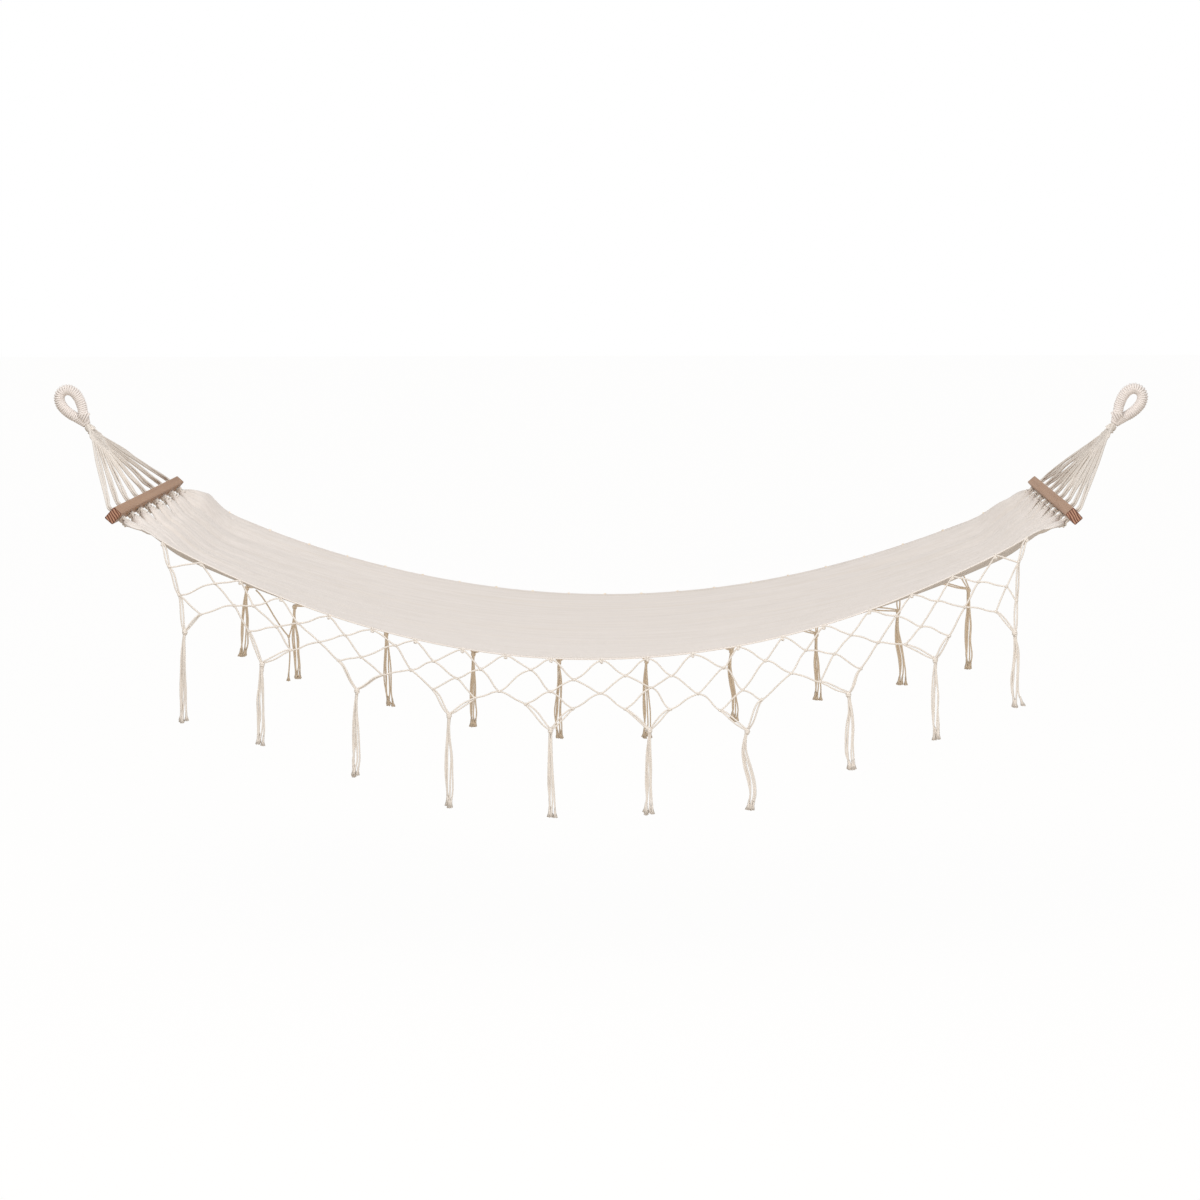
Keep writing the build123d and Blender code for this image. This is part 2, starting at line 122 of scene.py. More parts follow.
class Shader:
    """A node material with short calls to add and join nodes."""

    def __init__(self, name, roughness, sheen=0.0):
        self.material = bpy.data.materials.new(name)
        self.material.use_nodes = True
        self.tree = self.material.node_tree
        self.surface = self.tree.nodes["Principled BSDF"]
        self.surface.inputs["Roughness"].default_value = roughness
        self.surface.inputs["Sheen Weight"].default_value = sheen

    def node(self, kind, settings=None, **inputs):
        made = self.tree.nodes.new("ShaderNode" + kind)
        for name, value in (settings or {}).items():
            setattr(made, name, value)
        for name, value in inputs.items():
            self.put(made.inputs[name.replace("_", " ")], value)
        return made

    def put(self, socket, value):
        if isinstance(value, bpy.types.NodeSocket):
            self.tree.links.new(value, socket)
        else:
            socket.default_value = value

    def math(self, operation, first, second=0.0):
        made = self.tree.nodes.new("ShaderNodeMath")
        made.operation = operation
        self.put(made.inputs[0], first)
        self.put(made.inputs[1], second)
        return made.outputs[0]

    def mix(self, share, first, second):
        made = self.tree.nodes.new("ShaderNodeMix")
        made.data_type = "RGBA"
        self.put(made.inputs[0], share)
        self.put(made.inputs[6], first)
        self.put(made.inputs[7], second)
        return made.outputs[2]

    def noise(self, vector, scale, detail=3.0, roughness=0.5):
        made = self.node("TexNoise", Vector=vector, Scale=scale, Detail=detail, Roughness=roughness)
        return made.outputs["Fac"]

    def stretch(self, vector, scale, turn=(0, 0, 0)):
        made = self.node("Mapping", Vector=vector, Scale=scale, Rotation=turn)
        return made.outputs["Vector"]

    def ramp(self, value, *stops):
        made = self.tree.nodes.new("ShaderNodeValToRGB")
        self.put(made.inputs[0], value)
        elements = made.color_ramp.elements
        while len(elements) < len(stops):
            elements.new(0.5)
        for element, (place, colour) in zip(elements, stops):
            element.position = place
            element.color = colour
        return made.outputs[0]

    def bump(self, height, distance, strength=1.0, under=None):
        made = self.node("Bump", Height=height, Distance=distance, Strength=strength)
        if under is not None:
            self.put(made.inputs["Normal"], under)
        return made.outputs["Normal"]

    def finish(self, colour, normal):
        self.put(self.surface.inputs["Base Color"], colour)
        self.put(self.surface.inputs["Normal"], normal)
        return self.material


# The length of one turn of a cord's strands, and how strongly its fibres and blotches show
LAY = 0.011
STRANDS_IN_CORD = 2
FIBRE_SHARE = 0.06
BLOTCH_SHARE = 0.12


def cord_material(name, light, deep, lay=LAY, groove_shade=0.22):
    """Twisted cotton cord: two strands laid up, with fibres along them."""
    s = Shader(name, 0.88, 0.15)
    turns = s.node("UVMap", {"uv_map": "cord"}).outputs[0]
    split = s.node("SeparateXYZ", Vector=turns)
    phase = s.math("ADD", s.math("MULTIPLY", split.outputs[0], STRANDS_IN_CORD),
                   s.math("DIVIDE", split.outputs[1], lay / STRANDS_IN_CORD))
    wave = s.math("SINE", s.math("MULTIPLY", phase, 2 * pi))
    strand = s.math("ADD", s.math("MULTIPLY", wave, 0.5), 0.5)
    place = s.node("TexCoord").outputs["Object"]
    fibre = s.noise(s.stretch(turns, (9, 900, 1)), 1.0, 4.0, 0.7)
    blotch = s.noise(place, 9.0, 2.0)
    # The shade attribute darkens each cord towards the deep colour: random tone between cords, and painted
    # shade on cords that lie in shade.
    shade = s.node("Attribute", {"attribute_name": "shade"}).outputs["Fac"]
    # Painted shade: the grooves between the two strands are darkened towards the deep colour.
    colour = s.mix(s.math("MULTIPLY", s.math("SUBTRACT", 1.0, strand), groove_shade), light, deep)
    colour = s.mix(s.math("MULTIPLY", fibre, FIBRE_SHARE), colour, deep)
    colour = s.mix(s.math("MULTIPLY", blotch, BLOTCH_SHARE), colour, deep)
    colour = s.mix(shade, colour, deep)
    normal = s.bump(strand, 0.0002, 0.2)
    normal = s.bump(fibre, 0.00006, 0.2, normal)
    return s.finish(colour, normal)


def cloth_material():
    """Plain-woven cotton canvas with slubs along and across it."""
    s = Shader("bed_canvas", 0.92, 0.12)
    place = s.node("TexCoord").outputs["Object"]
    warp = s.node("TexWave", {"bands_direction": "Y"}, Vector=place, Scale=160.0, Distortion=0.6,
                  Detail=1.0).outputs["Fac"]
    weft = s.node("TexWave", {"bands_direction": "X"}, Vector=place, Scale=130.0, Distortion=0.6,
                  Detail=1.0).outputs["Fac"]
    weave = s.math("MULTIPLY", warp, weft)
    slub = s.noise(s.stretch(place, (3, 95, 40)), 1.0, 5.0, 0.65)
    slub_across = s.noise(s.stretch(place, (120, 4, 4)), 1.0, 4.0, 0.6)
    streak = s.noise(s.stretch(place, (1.1, 26, 4)), 1.0, 4.0, 0.6)
    cloud = s.noise(place, 2.2, 3.0)
    light, deep = linear(231, 223, 217), linear(206, 196, 186)
    warm = linear(222, 208, 190)
    # Painted shade between the yarns: the weave's gaps are darkened towards the deep colour.
    colour = s.mix(s.math("MULTIPLY", s.math("SUBTRACT", 1.0, weave), 0.16), light, deep)
    colour = s.mix(s.ramp(slub, (0.42, (0, 0, 0, 1)), (0.75, (0.45, 0.45, 0.45, 1))), colour, deep)
    colour = s.mix(s.math("MULTIPLY", s.ramp(streak, (0.5, (0, 0, 0, 1)), (0.8, (1, 1, 1, 1))), 0.3),
                   colour, warm)
    colour = s.mix(s.math("MULTIPLY", cloud, 0.14), colour, deep)
    normal = s.bump(weave, 0.0004, 0.55)
    normal = s.bump(slub, 0.0011, 0.4, normal)
    normal = s.bump(slub_across, 0.0005, 0.35, normal)
    return s.finish(colour, normal)


def thread_material():
    """Sewing thread, a little darker than the canvas."""
    s = Shader("sewing_thread", 0.7, 0.1)
    place = s.node("TexCoord").outputs["Object"]
    grain = s.noise(place, 900.0, 2.0)
    return s.finish(s.mix(grain, linear(214, 204, 192), linear(196, 184, 170)), s.bump(grain, 0.0001))


ARRIS = 0.0055
RING_SLANT = 0.5


def wood_material():
    """Oiled hardwood: plain brown faces, redder end grain with growth rings and dark arrises."""
    s = Shader("bar_hardwood", 0.5)
    s.surface.inputs["Specular IOR Level"].default_value = 0.2
    coordinates = s.node("TexCoord")
    place = coordinates.outputs["Object"]
    long_grain = s.noise(s.stretch(place, (70, 1.6, 70)), 1.0, 6.0, 0.6)
    pores = s.noise(s.stretch(place, (420, 9, 420)), 1.0, 3.0, 0.7)
    cloud = s.noise(s.stretch(place, (8, 2.4, 8)), 1.0, 3.0)
    face = s.ramp(long_grain, (0.3, linear(146, 110, 84)), (0.5, linear(163, 127, 99)),
                  (0.72, linear(172, 137, 109)))
    face = s.mix(s.math("MULTIPLY", cloud, 0.3), face, linear(154, 117, 90))
    pore = s.ramp(pores, (0.56, (0, 0, 0, 1)), (0.7, (1, 1, 1, 1)))
    face = s.mix(s.math("MULTIPLY", pore, 0.35), face, linear(126, 94, 74))
    slanted = s.stretch(place, (1, 1, 1), (0, RING_SLANT, 0))
    rings = s.node("TexWave", {"bands_direction": "X"}, Vector=slanted, Scale=52.0, Distortion=3.0,
                   Detail=2.0, Detail_Scale=1.2).outputs["Fac"]
    end = s.ramp(rings, (0.2, linear(92, 56, 44)), (0.5, linear(152, 106, 84)),
                 (0.9, linear(182, 140, 116)))
    end = s.mix(s.math("MULTIPLY", pore, 0.3), end, linear(96, 58, 44))
    across = s.node("SeparateXYZ", Vector=coordinates.outputs["Normal"]).outputs[1]
    is_end = s.ramp(s.math("ABSOLUTE", across), (0.62, (0, 0, 0, 1)), (0.86, (1, 1, 1, 1)))
    colour = s.mix(is_end, face, end)
    edge = s.node("Bevel", {"samples": 6}, Radius=ARRIS).outputs[0]
    sharp = s.node("VectorMath", {"operation": "DOT_PRODUCT"})
    s.put(sharp.inputs[0], edge)
    s.put(sharp.inputs[1], s.node("NewGeometry").outputs["Normal"])
    # Darker along the arrises, most on the end faces.
    arris_darkening = s.ramp(sharp.outputs["Value"], (0.90, (1, 1, 1, 1)), (0.998, (0, 0, 0, 1)))
    rim = s.math("MULTIPLY", arris_darkening, s.math("ADD", s.math("MULTIPLY", is_end, 0.8), 0.1))
    colour = s.mix(rim, colour, linear(84, 48, 36))
    normal = s.bump(long_grain, 0.0006, 0.25)
    normal = s.bump(pore, 0.0003, 0.3, normal)
    return s.finish(colour, normal)


# Lines and cords

def unit(vector):
    vector = np.asarray(vector, float)
    return vector / np.linalg.norm(vector)


def smooth(points, step):
    """A smooth line through given points, with a point about every step."""
    points = np.asarray(points, float)
    ends = np.vstack((2 * points[0] - points[1], points, 2 * points[-1] - points[-2]))
    line = []
    for a, b, c, d in zip(ends, ends[1:], ends[2:], ends[3:]):
        count = max(1, ceil(np.linalg.norm(c - b) / step))
        for k in range(count):
            t = k / count
            line.append(0.5 * (2 * b + (c - a) * t + (2 * a - 5 * b + 4 * c - d) * t ** 2
                               + (3 * b - a - 3 * c + d) * t ** 3))
    line.append(points[-1])
    return np.array(line)


def frames(line):
    """The direction, normal and binormal at each point, carried along with no twist."""
    steps = np.diff(line, axis=0)
    ways = np.vstack((steps[:1], steps[:-1] + steps[1:], steps[-1:]))
    ways /= np.linalg.norm(ways, axis=1)[:, None]
    helper = (0, 0, 1) if abs(ways[0][2]) < 0.9 else (1, 0, 0)
    normal = unit(np.cross(ways[0], helper))
    normals = []
    for way in ways:
        normal = unit(normal - way * normal.dot(way))
        normals.append(normal)
    normals = np.array(normals)
    return ways, normals, np.cross(ways, normals)


class Cords:
    """Round cords gathered into one mesh, each with its lay kept in a UV map."""

    def __init__(self):
        self.points, self.faces, self.turns, self.shades = [], [], [], []

    def add(self, line, radius, sides=8, shade=0.0):
        line = np.asarray(line, float)
        count = len(line)
        radii = np.broadcast_to(np.asarray(radius, float), (count,))
        _, normals, across = frames(line)
        angles = 2 * pi * np.arange(sides) / sides
        rings = (normals[:, None] * np.cos(angles)[None, :, None]
                 + across[:, None] * np.sin(angles)[None, :, None])
        rings = line[:, None] + rings * radii[:, None, None]
        along = np.concatenate(([0], np.cumsum(np.linalg.norm(np.diff(line, axis=0), axis=1))))
        along = along + rng.random()
        first = len(self.points)
        self.points.extend(rings.reshape(-1, 3).tolist())
        self.shades.extend([shade] * (count * sides))
        for i in range(count - 1):
            for k in range(sides):
                other = (k + 1) % sides
                row, after = first + i * sides, first + (i + 1) * sides
                self.faces.append((row + k, row + other, after + other, after + k))
                left, right = k / sides, (k + 1) / sides
                self.turns.extend(((left, along[i]), (right, along[i]),
                                   (right, along[i + 1]), (left, along[i + 1])))
        for row, place, order in ((0, along[0], -1), (count - 1, along[-1], 1)):
            ring = [first + row * sides + k for k in range(sides)][::order]
            self.faces.append(tuple(ring))
            self.turns.extend([(0.0, place)] * sides)

    def object(self, name, material, body, slot):
        mesh = bpy.data.meshes.new(name)
        mesh.from_pydata(self.points, [], self.faces)
        mesh.uv_layers.new(name="cord")
        mesh.uv_layers["cord"].data.foreach_set("uv", np.array(self.turns, np.float32).ravel())
        shade = mesh.attributes.new("shade", "FLOAT", "POINT")
        shade.data.foreach_set("value", np.array(self.shades, np.float32))
        mesh.polygons.foreach_set("use_smooth", [True] * len(mesh.polygons))
        return place_piece(mesh, name, material, body)


def place_piece(mesh, name, material, body):
    mesh.materials.append(material)
    mesh.update()
    made = bpy.data.objects.new(name, mesh)
    bpy.context.scene.collection.objects.link(made)
    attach(made, body)
    return made


def coil(centre, axis, radius, height, turns, start=0.0, per_turn=12):
    """A few turns round an axis, as a knot shows on its outside."""
    axis = unit(axis)
    helper = np.array((0.0, 1.0, 0.0)) if abs(axis[1]) < 0.8 else np.array((1.0, 0.0, 0.0))
    side = unit(np.cross(axis, helper))
    other = np.cross(axis, side)
    count = int(turns * per_turn) + 1
    share = np.arange(count) / (count - 1)
    angle = start + 2 * pi * turns * share
    belly = 1 - 0.25 * (2 * share - 1) ** 4
    return (np.asarray(centre) + np.outer((share - 0.5) * height, axis)
            + np.outer(radius * belly * np.cos(angle), side)
            + np.outer(radius * belly * np.sin(angle), other))


def at_side(points, side):
    """Points of the left end, or their mirror image at the right end."""
    points = np.array(points, float)
    if side == "right":
        points[..., 0] = HOOK_SPAN - points[..., 0]
    return points


# The eyes

EYE_UP = np.array((-cos(EYE_TILT), 0, sin(EYE_TILT)))
EYE_SIDE = np.array((sin(EYE_TILT), 0, cos(EYE_TILT)))
ACROSS = np.array((0.0, 1.0, 0.0))
CROWN = -EYE_UP * CROWN_REACH
THROAT = CROWN - EYE_UP * THROAT_REACH

# The eye's centre line as measured, from one leg's foot to the top and on as its mirror image:
# distances to the side of the crown's centre and above it
EYE_LEG = [(0.0075, -0.0500), (0.0135, -0.0400), (0.0185, -0.0290), (0.0218, -0.0170), (0.0236, -0.0040),
           (0.0228, 0.0080), (0.0185, 0.0185), (0.0105, 0.0262)]
EYE_SHAPE = [*EYE_LEG, (0.0, 0.0290), *((-a, b) for a, b in reversed(EYE_LEG))]


# The bundle inside: a ring of cords about one in the middle, twisted by some radians
BUNDLE_RING = 6
BUNDLE_RING_R = 0.0066
BUNDLE_CORD_R = 0.0046
BUNDLE_TWIST = 3


def eye_core(side, material):
    """The bundle of cords inside the serving."""
    cords = Cords()
    path = eye_path()
    ways, _, _ = frames(path)
    outward = np.cross(ACROSS, ways)
    for k in range(BUNDLE_RING + 1):
        reach = BUNDLE_RING_R if k < BUNDLE_RING else 0.0
        turn = 2 * pi * k / BUNDLE_RING + np.linspace(0, BUNDLE_TWIST, len(path))
        ring = outward * np.cos(turn)[:, None] + np.outer(np.sin(turn), ACROSS)
        # Painted shade: the bundle lies under the serving and is darkened by a quarter.
        cords.add(at_side((path + ring * reach)[::4], side), BUNDLE_CORD_R, 10, 0.25)
    made = cords.object(f"{side}_eye_bundle", material, "eyes", "cord")
    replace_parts(made, f"{side}_eye_core")


SERVING_POINTS = 16
SERVING_WOBBLE = 0.0005
SERVING_LEAN = 0.0006
END_SLIMMING = 0.16


def eye_serving(side, material):
    """Fine cord wound tightly round the whole eye."""
    line = []
    path = eye_path()
    ways, _, _ = frames(path)
    outwards = np.cross(ACROSS, ways)
    count = SERVING_TURNS * SERVING_POINTS
    for i in range(count + 1):
        share = i / count
        place = share * (len(path) - 1)
        low = min(int(place), len(path) - 2)
        point = path[low] + (path[low + 1] - path[low]) * (place - low)
        angle = 2 * pi * SERVING_TURNS * share
        wobble = SERVING_WOBBLE * noise.noise(Vector((share * 60, 1.3, 0)))
        lean = ways[low] * SERVING_LEAN * noise.noise(Vector((share * 90, 5.1, 0)))
        slim = 1 - END_SLIMMING * abs(2 * share - 1) ** 6
        reach = (ROPE_R - SERVING_R + wobble) * slim
        line.append(point + (outwards[low] * cos(angle) + ACROSS * sin(angle)) * reach + lean)
    cords = Cords()
    cords.add(at_side(line, side), SERVING_R, 8)
    made = cords.object(f"{side}_eye_serving_cord", material, "eyes", "cord")
    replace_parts(made, f"{side}_eye_serving")


# The throat's half width and half depth at heights above the point that the fan swings on
THROAT_LEVELS = [(0.0, 0.0112, 0.0095), (0.008, 0.0150, 0.0105), (0.018, 0.0200, 0.0122),
                 (0.028, 0.0245, 0.0135), (0.040, 0.0290, 0.0140)]


def eye_path():
    """The eye's centre line in space, from the right leg's foot to the left's; the right is in front."""
    flat = smooth([(a, b, 0) for a, b in EYE_SHAPE], 0.0010)
    share = np.linspace(0, 1, len(flat))
    front = 0.0062 * np.clip((share - 0.5) * 2, -1, 1) * np.abs(2 * share - 1) ** 2
    return CROWN + np.outer(flat[:, 0], EYE_SIDE) + np.outer(flat[:, 1], EYE_UP) + np.outer(front, ACROSS)


def throat_size(height):
    heights, widths, depths = zip(*THROAT_LEVELS)
    return np.interp(height, heights, widths), np.interp(height, heights, depths)


# The turns that bind the throat, the bundle's cords between them, and the front leg's last turns
BINDING_TURNS = 6
BINDING_POINTS = 24
BINDING_FOOT = 0.003
BINDING_HEIGHT = 0.0270
BINDING_SLOPE = 0.0022
BINDING_WOBBLE = 0.0012
THROAT_CORDS = 9
THROAT_CORD_R = 0.0040
THROAT_CORD_DEPTH = 0.0045
THROAT_CORD_ENDS = (-0.001, 0.026)
SLANT_TURNS = 4
SLANT_TOP = 0.034
SLANT_STEP = 0.0060


def eye_seizing(side, material):
    """The throat: the two legs drawn together under turns of the same fine cord."""
    cords = Cords()
    line = []
    count = BINDING_TURNS * BINDING_POINTS
    for i in range(count + 1):
        share = i / count
        height = BINDING_FOOT + BINDING_HEIGHT * (1 - share) ** 1.1
        width, depth = throat_size(height)
        angle = 2 * pi * BINDING_TURNS * share
        slope = BINDING_SLOPE * sin(angle) + BINDING_WOBBLE * noise.noise(Vector((share * 31, 2.2, 0)))
        line.append(THROAT + EYE_UP * (height + slope + 0.0008)
                    + EYE_SIDE * (width - SERVING_R) * cos(angle)
                    + ACROSS * (depth - SERVING_R) * sin(angle))
    cords.add(at_side(line, side), SERVING_R * 1.05, 8)
    for k in range(THROAT_CORDS):
        angle = 2 * pi * k / THROAT_CORDS
        line = []
        for height in np.linspace(*THROAT_CORD_ENDS, 9):
            width, depth = throat_size(height)
            line.append(THROAT + EYE_UP * height
                        + EYE_SIDE * (width - THROAT_CORD_DEPTH) * cos(angle)
                        + ACROSS * (depth - THROAT_CORD_DEPTH) * sin(angle))
        # Painted shade: the bundle's cords between the binding's turns are darkened by 0.3.
        cords.add(at_side(line, side), THROAT_CORD_R, 8, 0.3)
    # the last turns of the front leg, slanting over the throat
    for k in range(SLANT_TURNS):
        height = SLANT_TOP - SLANT_STEP * k
        line = []
        for angle in np.linspace(-0.62 * pi, 0.62 * pi, 18):
            width, depth = throat_size(height)
            lean = EYE_UP * (0.0052 * sin(angle)) + EYE_SIDE * (0.0015 * k)
            line.append(THROAT + EYE_UP * (height - 0.004) + lean
                        + EYE_SIDE * (0.0105 * sin(angle) + 0.0075)
                        - ACROSS * (depth + 0.0012) * cos(angle * 0.72) ** 0.5)
        cords.add(at_side(line, side), SERVING_R * 1.05, 8, 0.05)
    made = cords.object(f"{side}_eye_throat_binding", material, "eyes", "cord")
    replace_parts(made, f"{side}_eye_seizing")


# The fan of cords

BAR_CENTRE = np.array((MIDDLE_X - BAR_REACH, 0, -BAR_DROP))
BAR_DOWN = np.array((cos(BAR_TILT), 0, -sin(BAR_TILT)))
BAR_UP_FACE = np.array((sin(BAR_TILT), 0, cos(BAR_TILT)))
CLEW_DOWN = unit(BAR_CENTRE - THROAT)
CLEW_OUT = np.cross(ACROSS, CLEW_DOWN)
HOLES = [HOLE_REACH * (2 * k / (HOLE_COUNT - 1) - 1) for k in range(HOLE_COUNT)]
CORD_R = 0.0026
CORDS_PER_HOLE = 4
WEAVE_REACH = 0.082
WEAVE_SPREAD = radians(57)
# Steps between the fan's cords: in depth in the weave, within a hole, and side by side below it
LAYER_STEP = 0.0035
SPOT_STEP = 0.0050
RIBBON_STEP = 0.0051
WEAVE_WAVE = 0.0011
CORD_DRIFT = 0.0012
STRAIGHT_END = 0.012


def fan_cord(side, hole, number):
    """One cord from the throat, flat beside its neighbours in the weave, into its hole."""
    place = hole * CORDS_PER_HOLE + number
    share = (place + 0.5) / (HOLE_COUNT * CORDS_PER_HOLE) * 2 - 1
    angle = share * WEAVE_SPREAD
    way = CLEW_DOWN * cos(angle) + ACROSS * sin(angle)
    layer = (place % 3 - 1) * LAYER_STEP
    weave = WEAVE_WAVE * (-1) ** place
    mouth = BAR_CENTRE + ACROSS * HOLES[hole] - BAR_DOWN * BAR_THICKNESS / 2
    column, row = number % 2 - 0.5, number // 2 - 0.5
    spot = ACROSS * column * SPOT_STEP + BAR_UP_FACE * row * SPOT_STEP
    head = THROAT + CLEW_DOWN * 0.001
    points = [
        head + ACROSS * share * 0.0055 + CLEW_OUT * layer,
        THROAT + way * 0.018 + CLEW_OUT * (layer * 0.7 + weave),
        THROAT + way * 0.040 + CLEW_OUT * (layer * 0.3 - weave),
        THROAT + way * 0.062 + CLEW_OUT * weave,
        THROAT + way * WEAVE_REACH - CLEW_OUT * weave,
    ]
    last = points[-1]
    end = mouth + spot - BAR_DOWN * STRAIGHT_END
    ribbon = ACROSS * (number - 1.5) * RIBBON_STEP
    for share_out in (0.3, 0.6, 0.85):
        straight = last + (end - last) * share_out
        flat = 1.05 * (1 - share_out) if side == "left" else 1.9 * (1 - share_out) ** 0.5
        drift = rng.normal(0, CORD_DRIFT, 3)
        points.append(straight + ribbon * flat + drift)
    points += [end, mouth + spot, mouth + spot + BAR_DOWN * STRAIGHT_END]
    return at_side(smooth(points, 0.009), side)


# The weft's rows: each one's distance from the throat, and its width as a share of the fan's
WEFT_ROWS = [(0.016, 1.0), (0.0215, 1.0), (0.027, 0.97), (0.0325, 0.92), (0.038, 0.85), (0.0435, 0.77),
             (0.049, 0.68), (0.0545, 0.58), (0.060, 0.47), (0.0655, 0.36), (0.071, 0.25), (0.077, 0.13)]
WEFT_WAVE = 0.0026
WEFT_BOW = 0.004
NECK_TURNS = 4
NECK_TOP = 0.0065
NECK_STEP = 0.0042
NECK_R = 0.0088
NECK_FLARE = 0.0008
NECK_CORD_R = 0.0021


def clew(side, material):
    """The fan's cords, and the weave at its head."""
    fan, weave = Cords(), Cords()
    for hole in range(HOLE_COUNT):
        for number in range(CORDS_PER_HOLE):
            fan.add(fan_cord(side, hole, number), CORD_R, 8, rng.random() * 0.35)
    # the weft that binds the weave, each row shorter than the one above it
    for number, (reach, width) in enumerate(WEFT_ROWS):
        line = []
        count = 2 * max(4, int(width * 24)) + 1
        for k in range(count):
            angle = (2 * k / (count - 1) - 1) * WEAVE_SPREAD * width
            over = WEFT_WAVE * (-1) ** (k + number)
            dip = reach + WEFT_BOW * cos(angle * 1.6)
            line.append(THROAT + (CLEW_DOWN * cos(angle) + ACROSS * sin(angle)) * dip + CLEW_OUT * over)
        weave.add(at_side(smooth(line, 0.004), side), CORD_R * 0.8, 6, rng.random() * 0.2)
    # the neck, where the cords leave the throat
    for k in range(NECK_TURNS):
        turn = coil(THROAT + CLEW_DOWN * (NECK_TOP + NECK_STEP * k), CLEW_DOWN, NECK_R + NECK_FLARE * k,
                    NECK_STEP, 1.05, k * 1.1, 20)
        weave.add(at_side(turn, side), NECK_CORD_R, 8)
    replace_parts(fan.object(f"{side}_fan_cords", material, "hammock", "cord"), f"{side}_clew_cords")
    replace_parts(weave.object(f"{side}_fan_weave", material, "hammock", "cord"), f"{side}_clew_weave")


# From a bar's centre to the lashing of a tongue
LASHING_DROP = 0.0285
# The knot right below a hole: its drop, radius, height, turns, share of the cord's size, and painted shade,
# deeper at the right, where the cords hang in shade
HOLE_KNOTS = {"left": (0.0062, 0.0072, 0.0095, 2.4, 1.0, 0.05),
              "right": (0.0032, 0.0058, 0.004, 1.2, 0.9, 0.3)}
# Steps between the four leads, along the bar and over it, at the hole and where they are widest
LEAD_STEPS = (0.0058, 0.0052)
WIDE_STEPS = (0.0112, 0.0075)
LEAD_SPREAD = {"left": 1.5, "right": 1.15}


def bar_knots(side, material):
    """Below the bar: on the left lumpy knots, on the right cords that run on to the cloth."""
    cords = Cords()
    drop, radius, height, turns, size, dark = HOLE_KNOTS[side]
    for hole in HOLES:
        foot = BAR_CENTRE + ACROSS * hole + BAR_DOWN * BAR_THICKNESS / 2
        end = BAR_CENTRE + ACROSS * hole + BAR_DOWN * LASHING_DROP
        lean = unit(BAR_DOWN + ACROSS * rng.normal(0, 0.16) + BAR_UP_FACE * rng.normal(0, 0.12))
        knot = coil(foot + BAR_DOWN * drop, lean, radius, height, turns, rng.random() * 6)
        cords.add(at_side(knot, side), CORD_R * size, 8, dark)
        for k in range(4):
            column, row = k % 2 - 0.5, k // 2 - 0.5
            spot = ACROSS * column * LEAD_STEPS[0] + BAR_UP_FACE * row * LEAD_STEPS[1]
            wide = ACROSS * column * WIDE_STEPS[0] * LEAD_SPREAD[side] + BAR_UP_FACE * row * WIDE_STEPS[1]
            points = [foot + spot - BAR_DOWN * 0.01, foot + spot,
                      foot + wide * 0.85 + BAR_DOWN * 0.007 + rng.normal(0, 0.0006, 3),
                      end + wide + rng.normal(0, 0.0006, 3),
                      end + wide * 0.75 + BAR_DOWN * 0.009, end + spot * 0.5 + BAR_DOWN * 0.014]
            # Painted shade under the bar: each lead is darkened by a tenth, and by a random share more as
            # tone.
            cords.add(at_side(smooth(points, 0.003), side), CORD_R, 8, 0.1 + 0.3 * rng.random())
        # the turns that lash the cloth's gathered end
        for k in range(2):
            middle = end + BAR_DOWN * (0.0005 + 0.0052 * k)
            tilt = unit(BAR_DOWN + ACROSS * rng.normal(0, 0.2))
            cords.add(at_side(coil(middle, tilt, 0.0088, 0.002, 1.1, rng.random() * 6, 16), side),
                      CORD_R * 0.95, 8, 0.05)
    made = cords.object(f"{side}_bar_lashings", material, "hammock", "cord")
    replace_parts(made, f"{side}_bar_knots")


# The bed

def edge_height(edge, x):
    """The height of the front or rear edge of the cloth above the bar level, at a middle length."""
    sag, end = (FRONT_SAG, FRONT_END_SAG) if edge == "front" else (REAR_SAG, REAR_END_SAG)
    return -sag + (sag - end) * (x / NET_REACH) ** 2


COLUMNS_PER_FOLD = 18
KNOT_X = BAR_REACH - LASHING_DROP * cos(BAR_TILT)
KNOT_Z = -LASHING_DROP * sin(BAR_TILT)
TONGUE_END = KNOT_X + 0.004
# where the slits between the tongues start, from front to rear
SLITS = {
    "left": [1.066, 1.071, 1.074, 1.079, 1.076, 1.070, 1.073],
    "right": [1.070, 1.078, 1.073, 1.080, 1.075, 1.079, 1.071],
}
TONGUE_HALF = 0.0085
OUTER_SLIT = NET_REACH + 0.045
# The bed's trough depth and fold height: in its middle, what the net's end adds, and at the cloth's end
TROUGH_MIDDLE, TROUGH_MORE, TROUGH_END = 0.028, 0.030, 0.022
RIDGE_MIDDLE, RIDGE_MORE, RIDGE_END = 0.0008, 0.0095, 0.014
FRONT_RIDGE = 0.4


def ease(share):
    share = min(max(share, 0.0), 1.0)
    return share * share * (3 - 2 * share)


SOFTENING = (-0.036, -0.018, 0.0, 0.018, 0.036)
# each rear shoulder's place along the bed, its reach along it and its height
SHOULDERS = {"left": (1.078, 0.036, 0.036), "right": (1.070, 0.045, 0.012)}


def section_point(x, fold, t, end_name):
    """A point of the cloth's upper side, with the bend where it starts to narrow made soft."""
    sign = 1 if x > 0 else -1
    reach = abs(x)
    points = [raw_section(sign * min(reach + shift, CLOTH_REACH), fold, t) for shift in SOFTENING]
    point = np.mean(points, axis=0)
    point[0] = x
    # the rear corner stands up in a rounded shoulder near the bar
    place, wide, rise = SHOULDERS[end_name]
    share = (fold + t) / HOLE_COUNT
    point[2] += rise * exp(-((reach - place) / wide) ** 2) * ease((share - 0.80) / 0.2)
    return point


